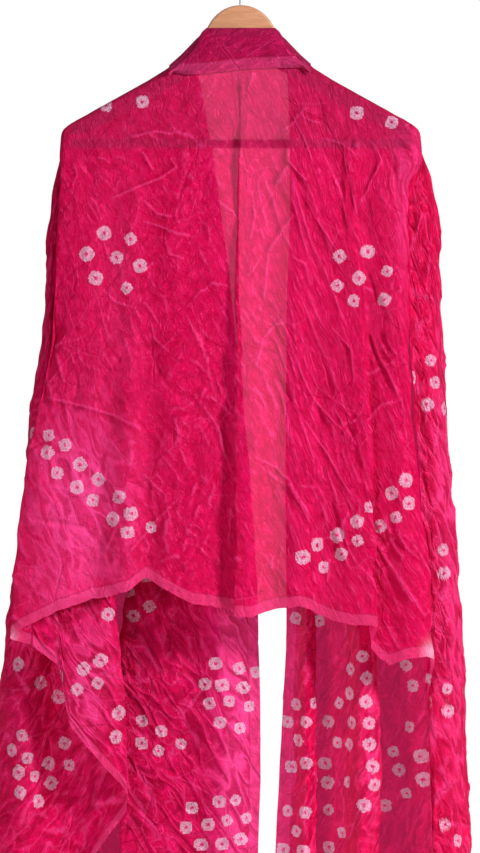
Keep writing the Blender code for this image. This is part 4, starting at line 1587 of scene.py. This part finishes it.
@dataclass
class BackStretch(Hanging):
    """The middle of the cloth, across the wearer's back."""

    placed_creases: float = 1.9
    pale_corners: tuple[Patch, ...] = (Patch(232, 868, 9, 12, 1.0), Patch(-280, 848, 6, 8, 0.8))
    # Painted shade above the bar, fading out below it
    layered_painted_shade: float = 0.36
    layered_end: tuple[float, float] = (246.0, 257.0)

    def creases(self) -> np.ndarray:
        """Height of the main creases, placed as seen from behind, and of the scattered ones."""
        placed = crease_height(BACK_CREASES, self.points[..., 0], self.points[..., 2])
        return super().creases() + self.placed_creases * placed

    def painted_shade(self) -> np.ndarray:
        """Painted shade over the hanger too, where the layers lie close."""
        layered = self.layered_painted_shade * (1 - smooth_step(self.points[..., 2], *self.layered_end))
        return np.maximum(super().painted_shade(), layered)

    def pale(self) -> np.ndarray:
        """Paler at the two lower corners."""
        x, depth = self.points[..., 0], self.points[..., 2]
        return np.clip(sum(patch.glow(x, depth) for patch in self.pale_corners), 0, 1)


@dataclass
class Collar(Cloth):
    """The upper long edge, turned over toward the viewer."""

    columns: int = 150
    rows: int = 56
    lift: float = 2.2
    bulge: float = 2.5
    turn: float = 2.0
    least: float = 3.0
    calm: float = 0.34

    def lay_out(self) -> None:
        """Work out the smooth flap from the back's own columns, moved out."""
        ks = range(LEFT_SEAM_AT, RIGHT_SEAM_AT + 1)
        xs = np.linspace(COLLAR_EDGE[0].x, COLLAR_EDGE[-1].x, self.columns)
        at = np.interp(xs, [CHAIN[k].ridge for k in ks], list(ks))
        self.points = np.array([self.flap(place) for place in at])
        self.measure(xs - xs[0])

    def flap(self, at: float) -> np.ndarray:
        """Follow one column of the flap, from its fold to its free edge.

        Args:
            at: The place along the chain.

        Returns:
            Rows of x, y and depth.
        """
        arm = self.drape.over_arm(at, self.lift)
        x, y, depth = self.drape.over_arm(at)[0]
        turns = np.linspace(0, math.pi, len(arm))
        neck = np.stack([
            np.full(len(arm), x), y - self.turn * (1 - np.cos(turns)), depth - self.turn * np.sin(turns),
        ], axis=-1)
        share = self.drape.on_arm(at)
        top = neck * (1 - share) + arm * share
        start = top[-1][2]
        free = max(float(depth_on(COLLAR_EDGE, x)), start + self.least)
        depths = np.linspace(start, free, self.rows + 1)[1:]
        under = self.drape.section(at, depths)
        down = (depths - start) / (free - start)
        off = self.lift * down + self.turn * 2 * (1 - down) + self.bulge * np.sin(math.pi * down)
        return np.vstack([top, np.column_stack([under[:, 0], under[:, 1] - off, depths])])

    def edges(self) -> np.ndarray:
        """Distance from the free edge."""
        return self.t[:, -1:] - self.t

    def strength(self) -> np.ndarray:
        """Calmer than the rest, as it lies close on the back."""
        return self.calm * smooth_step(self.t, 4.0, 22.0)


@dataclass(frozen=True)
class Hanger:
    """The wooden hanger with its bar and wire hook.

    The wire runs from its foot in the wood up the stem, whose bends are given from the stem's top, and round
    the hook's arc, given in degrees.
    """

    half: float = 5.6
    rim: float = 3.2
    bar_radius: float = 5.4
    bar_end_x: float = 206.7
    wood_clear: float = 1.4
    arm_end_x: float = 213.0
    wire: float = 1.75
    hook_radius: float = 19.75
    hook_foot: float = 74.7
    stem: float = 52.0
    stem_bends: tuple[tuple[float, float], ...] = ((0.0, -8.0), (0.0, 0.0), (2.0, 5.0), (7.0, 11.5))
    arc: tuple[int, int, int] = (-48, 206, 11)
    sharp: float = 40.0

    def outline(self) -> list[tuple[float, float]]:
        """Draw the wood's whole outline.

        Returns:
            Its places as x and z.
        """
        dome_x = np.linspace(0, DOME[-1].x, 15)
        dome = curve_through([p.x for p in DOME], [p.depth for p in DOME], dome_x)
        top = list(zip(dome_x.tolist(), dome.tolist()))
        for inner, outer in zip(RIDGE, RIDGE[1:]):
            if inner.x > DOME[-1].x and outer.x < self.arm_end_x:
                fall = (outer.depth - inner.depth) / (outer.x - inner.x)
                top.append((inner.x, inner.depth + self.wood_clear * math.hypot(1, fall)))
        right = top + [(p.x, p.depth) for p in ARM_TIP + UNDERSIDE]
        left = [(-x, depth) for x, depth in reversed(right[1:-1])]
        return [(x, -depth) for x, depth in right + left]

    def body(self, finish: WoodFinish) -> bpy.types.Object:
        """Make the neck and arms: one flat outline with rounded edges.

        Args:
            finish: The wood's look.

        Returns:
            The finished piece.
        """
        wood = bmesh.new()
        points = [wood.verts.new((x * MM, -self.half * MM, z * MM)) for x, z in self.outline()]
        pushed = bmesh.ops.extrude_face_region(wood, geom=[wood.faces.new(points)])
        moved = [v for v in pushed["geom"] if isinstance(v, bmesh.types.BMVert)]
        bmesh.ops.translate(wood, verts=moved, vec=(0, 2 * self.half * MM, 0))
        rims = [e for e in wood.edges if abs(e.verts[0].co.y - e.verts[1].co.y) < 1e-6]
        bmesh.ops.bevel(
            wood, geom=rims, offset=self.rim * MM, segments=4, profile=0.5, affect="EDGES", material=-1,
            clamp_overlap=True,
        )
        bmesh.ops.recalc_face_normals(wood, faces=wood.faces)
        return self.piece("wooden_hanger", wood, finish, "hanger_body", Slot.WOOD)

    def bar(self, finish: WoodFinish) -> bpy.types.Object:
        """Make the round bar between the arms' tips.

        Args:
            finish: The wood's look.

        Returns:
            The finished piece.
        """
        bar = bmesh.new()
        radius = self.bar_radius * MM
        bmesh.ops.create_cone(
            bar, cap_ends=True, segments=48, radius1=radius, radius2=radius, depth=2 * self.bar_end_x * MM,
        )
        bmesh.ops.rotate(bar, verts=bar.verts, matrix=Matrix.Rotation(math.pi / 2, 3, "Y"))
        bmesh.ops.translate(bar, verts=bar.verts, vec=(0, 0, -BAR_DEPTH * MM))
        return self.piece("wooden_bar", bar, finish, "hanger_bar", Slot.WOOD)

    def hook(self, finish: SteelFinish) -> bpy.types.Object:
        """Make the bent wire hook.

        Args:
            finish: The wire's look.

        Returns:
            The finished piece.
        """
        middle = -(self.hook_radius - self.wire)
        points = [(0.0, -self.hook_foot)] + [(x, -self.stem + z) for x, z in self.stem_bends]
        for turn in map(math.radians, range(*self.arc)):
            points.append((self.hook_radius * math.cos(turn), middle + self.hook_radius * math.sin(turn)))
        curve = bpy.data.curves.new("wire_hook", "CURVE")
        curve.dimensions = "3D"
        curve.bevel_depth = self.wire * MM
        curve.bevel_resolution = 5
        curve.resolution_u = 6
        curve.use_fill_caps = True
        line = curve.splines.new("BEZIER")
        line.bezier_points.add(len(points) - 1)
        for point, (x, z) in zip(line.bezier_points, points):
            point.co = (x * MM, 0.0, z * MM)
            point.handle_left_type = point.handle_right_type = "AUTO"
        holder = put_in_scene("hook_curve", curve)
        bpy.context.view_layer.update()
        wire = bmesh.new()
        wire.from_mesh(holder.to_mesh())
        holder.to_mesh_clear()
        bpy.data.objects.remove(holder)
        bmesh.ops.remove_doubles(wire, verts=wire.verts, dist=1e-5)
        return self.piece("wire_hook", wire, finish, "hanger_hook", Slot.STEEL)

    def piece(
        self, name: str, shape: bmesh.types.BMesh, finish: WoodFinish | SteelFinish, node: str, slot: Slot,
    ) -> bpy.types.Object:
        """Turn a shape into a dressed piece that stands for a part of the frame.

        Args:
            name: The piece's name.
            shape: Its finished shape.
            finish: Its look.
            node: The part of the frame that it stands for.
            slot: What it is made of; not used.

        Returns:
            The finished piece.
        """
        mesh = mesh_from(name, shape)
        mesh.set_sharp_from_angle(angle=math.radians(self.sharp))
        made = put_in_scene(name, mesh)
        mesh.materials.append(finish.make())
        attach(made, "root")
        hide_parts(node)
        LOG.info("%s: %d faces", name, len(mesh.polygons))
        return made

    def build(self) -> None:
        """Make the whole hanger."""
        self.body(WoodFinish("oiled_wood"))
        self.bar(WoodFinish("oiled_wood_bar"))
        self.hook(SteelFinish("plated_wire"))


@dataclass(frozen=True)
class Studio:
    """Pale floor, soft light and the camera, in metres."""

    floor_z: float = -1.30
    floor_radius: float = 1.1
    floor_colour: Colour = (0.9, 0.9, 0.9, 1.0)
    distance: float = 4.0
    frame_height: float = 1.049
    sensor: float = 24.0
    aim: tuple[float, float] = (-0.001, -0.593)
    ambient: float = 0.17

    def build(self) -> None:
        """Set up the floor, light and camera."""
        self.floor()
        self.world()
        for lamp in LAMPS:
            self.light(lamp)
        self.camera()

    def floor(self) -> None:
        """Lay a pale round floor."""
        disc = bmesh.new()
        bmesh.ops.create_circle(disc, cap_ends=True, segments=64, radius=self.floor_radius)
        bmesh.ops.translate(disc, verts=disc.verts, vec=(0, 0, self.floor_z))
        mesh = mesh_from("floor", disc)
        floor = put_in_scene("floor", mesh)
        sh = Shader("floor")
        paint = sh.add("ShaderNodeBsdfPrincipled", Base_Color=self.floor_colour, Roughness=0.8)
        mesh.materials.append(sh.finish(paint))

    def world(self) -> None:
        """Put white surroundings behind the piece, and a dimmer white light all round it."""
        world = bpy.data.worlds.new("white_room")
        world.use_nodes = True
        tree = world.node_tree
        back = tree.nodes["Background"]
        room = tree.nodes.new("ShaderNodeBackground")
        for node, strength in ((back, 1.0), (room, self.ambient)):
            node.inputs["Color"].default_value = WHITE
            node.inputs["Strength"].default_value = strength
        seen = tree.nodes.new("ShaderNodeLightPath")
        both = tree.nodes.new("ShaderNodeMixShader")
        tree.links.new(seen.outputs["Is Camera Ray"], both.inputs[0])
        tree.links.new(room.outputs[0], both.inputs[1])
        tree.links.new(back.outputs[0], both.inputs[2])
        tree.links.new(both.outputs[0], tree.nodes["World Output"].inputs["Surface"])
        bpy.context.scene.world = world
        bpy.context.scene.view_settings.view_transform = "Standard"

    def light(self, lamp: Lamp) -> None:
        """Add one soft light that faces the cloth.

        Args:
            lamp: Its name, place, size and power.
        """
        light = bpy.data.lights.new(lamp.name, "AREA")
        light.size = lamp.size
        light.energy = lamp.power
        holder = put_in_scene(lamp.name, light)
        holder.location = lamp.place
        way = Vector((self.aim[0], 0.0, self.aim[1])) - Vector(lamp.place)
        holder.rotation_euler = way.to_track_quat("-Z", "Y").to_euler()

    def camera(self) -> None:
        """Set a level camera behind the wearer's back."""
        lens = bpy.data.cameras.new("camera")
        lens.sensor_fit = "VERTICAL"
        lens.sensor_height = self.sensor
        lens.lens = self.sensor * self.distance / self.frame_height
        camera = put_in_scene("camera", lens)
        camera.location = (self.aim[0], -self.distance, self.aim[1])
        camera.rotation_euler = (math.pi / 2, 0.0, 0.0)
        bpy.context.scene.camera = camera


def stretches(drape: Drape, detail: float) -> tuple[Cloth, ...]:
    """List the stretches of the cloth.

    Args:
        drape: The hang of the whole cloth.
        detail: Share of the full number of columns and rows.

    Returns:
        The two falls, the back and the collar.
    """
    left, right, end = float(LEFT_SEAM_AT), float(RIGHT_SEAM_AT), float(len(CHAIN) - 1)
    return (
        Hanging(
            "left_fall", drape, flat=(0.68, 1.05), crinkle=Crinkle(3, lean=23.0, crush=1.1),
            silk=SilkFinish(
                "left_fall_silk", lean=23.0, bright=(0.76, 0.003, 0.110, 1.0), relief=0.0019, contrast=0.6,
            ),
            ties=LEFT_TIES, patches=LEFT_PATCHES,
            first=0.0, last=left, columns=int(300 * detail), rows=int(320 * detail),
        ),
        BackStretch(
            "back_stretch", drape, flat=(0.60, 0.70), crinkle=Crinkle(5, lean=-27.0, crush=0.72),
            silk=SilkFinish(
                "back_stretch_silk", lean=-27.0, sheer=0.03, relief=0.0012, drawn=2.6, contrast=0.10,
            ),
            ties=BACK_TIES, patches=BACK_PATCHES,
            first=left, last=right, columns=int(290 * detail), rows=int(330 * detail),
        ),
        Hanging(
            "right_fall", drape, flat=(0.50, 1.05), crinkle=Crinkle(8, lean=-20.0, crush=0.75),
            silk=SilkFinish(
                "right_fall_silk", lean=-20.0, deep=(0.56, 0.0003, 0.040, 1.0),
                bright=(0.74, 0.001, 0.066, 1.0),
            ),
            ties=RIGHT_TIES, patches=RIGHT_PATCHES,
            first=right, last=end, columns=int(280 * detail), rows=int(330 * detail),
        ),
        Collar(
            "collar_turnover", drape, flat=(0.19, 0.05), crinkle=Crinkle(11, lean=62.0),
            silk=SilkFinish(
                "collar_turnover_silk", lean=62.0, deep=(0.38, 0.002, 0.050, 1.0),
                bright=(0.50, 0.005, 0.085, 1.0), drawn=3.0, contrast=0.2,
            ),
            held=Held.FOLDED, slot=Slot.COLLAR_SILK,
        ),
    )


def main() -> None:
    """Build and dress the stole."""
    logging.basicConfig(level=logging.INFO, format="%(relativeCreated)6d ms %(message)s")
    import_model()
    Hanger().build()
    for stretch in stretches(Drape(), 1.0):
        stretch.build()
    Studio().build()


if __name__ == "__main__":
    main()
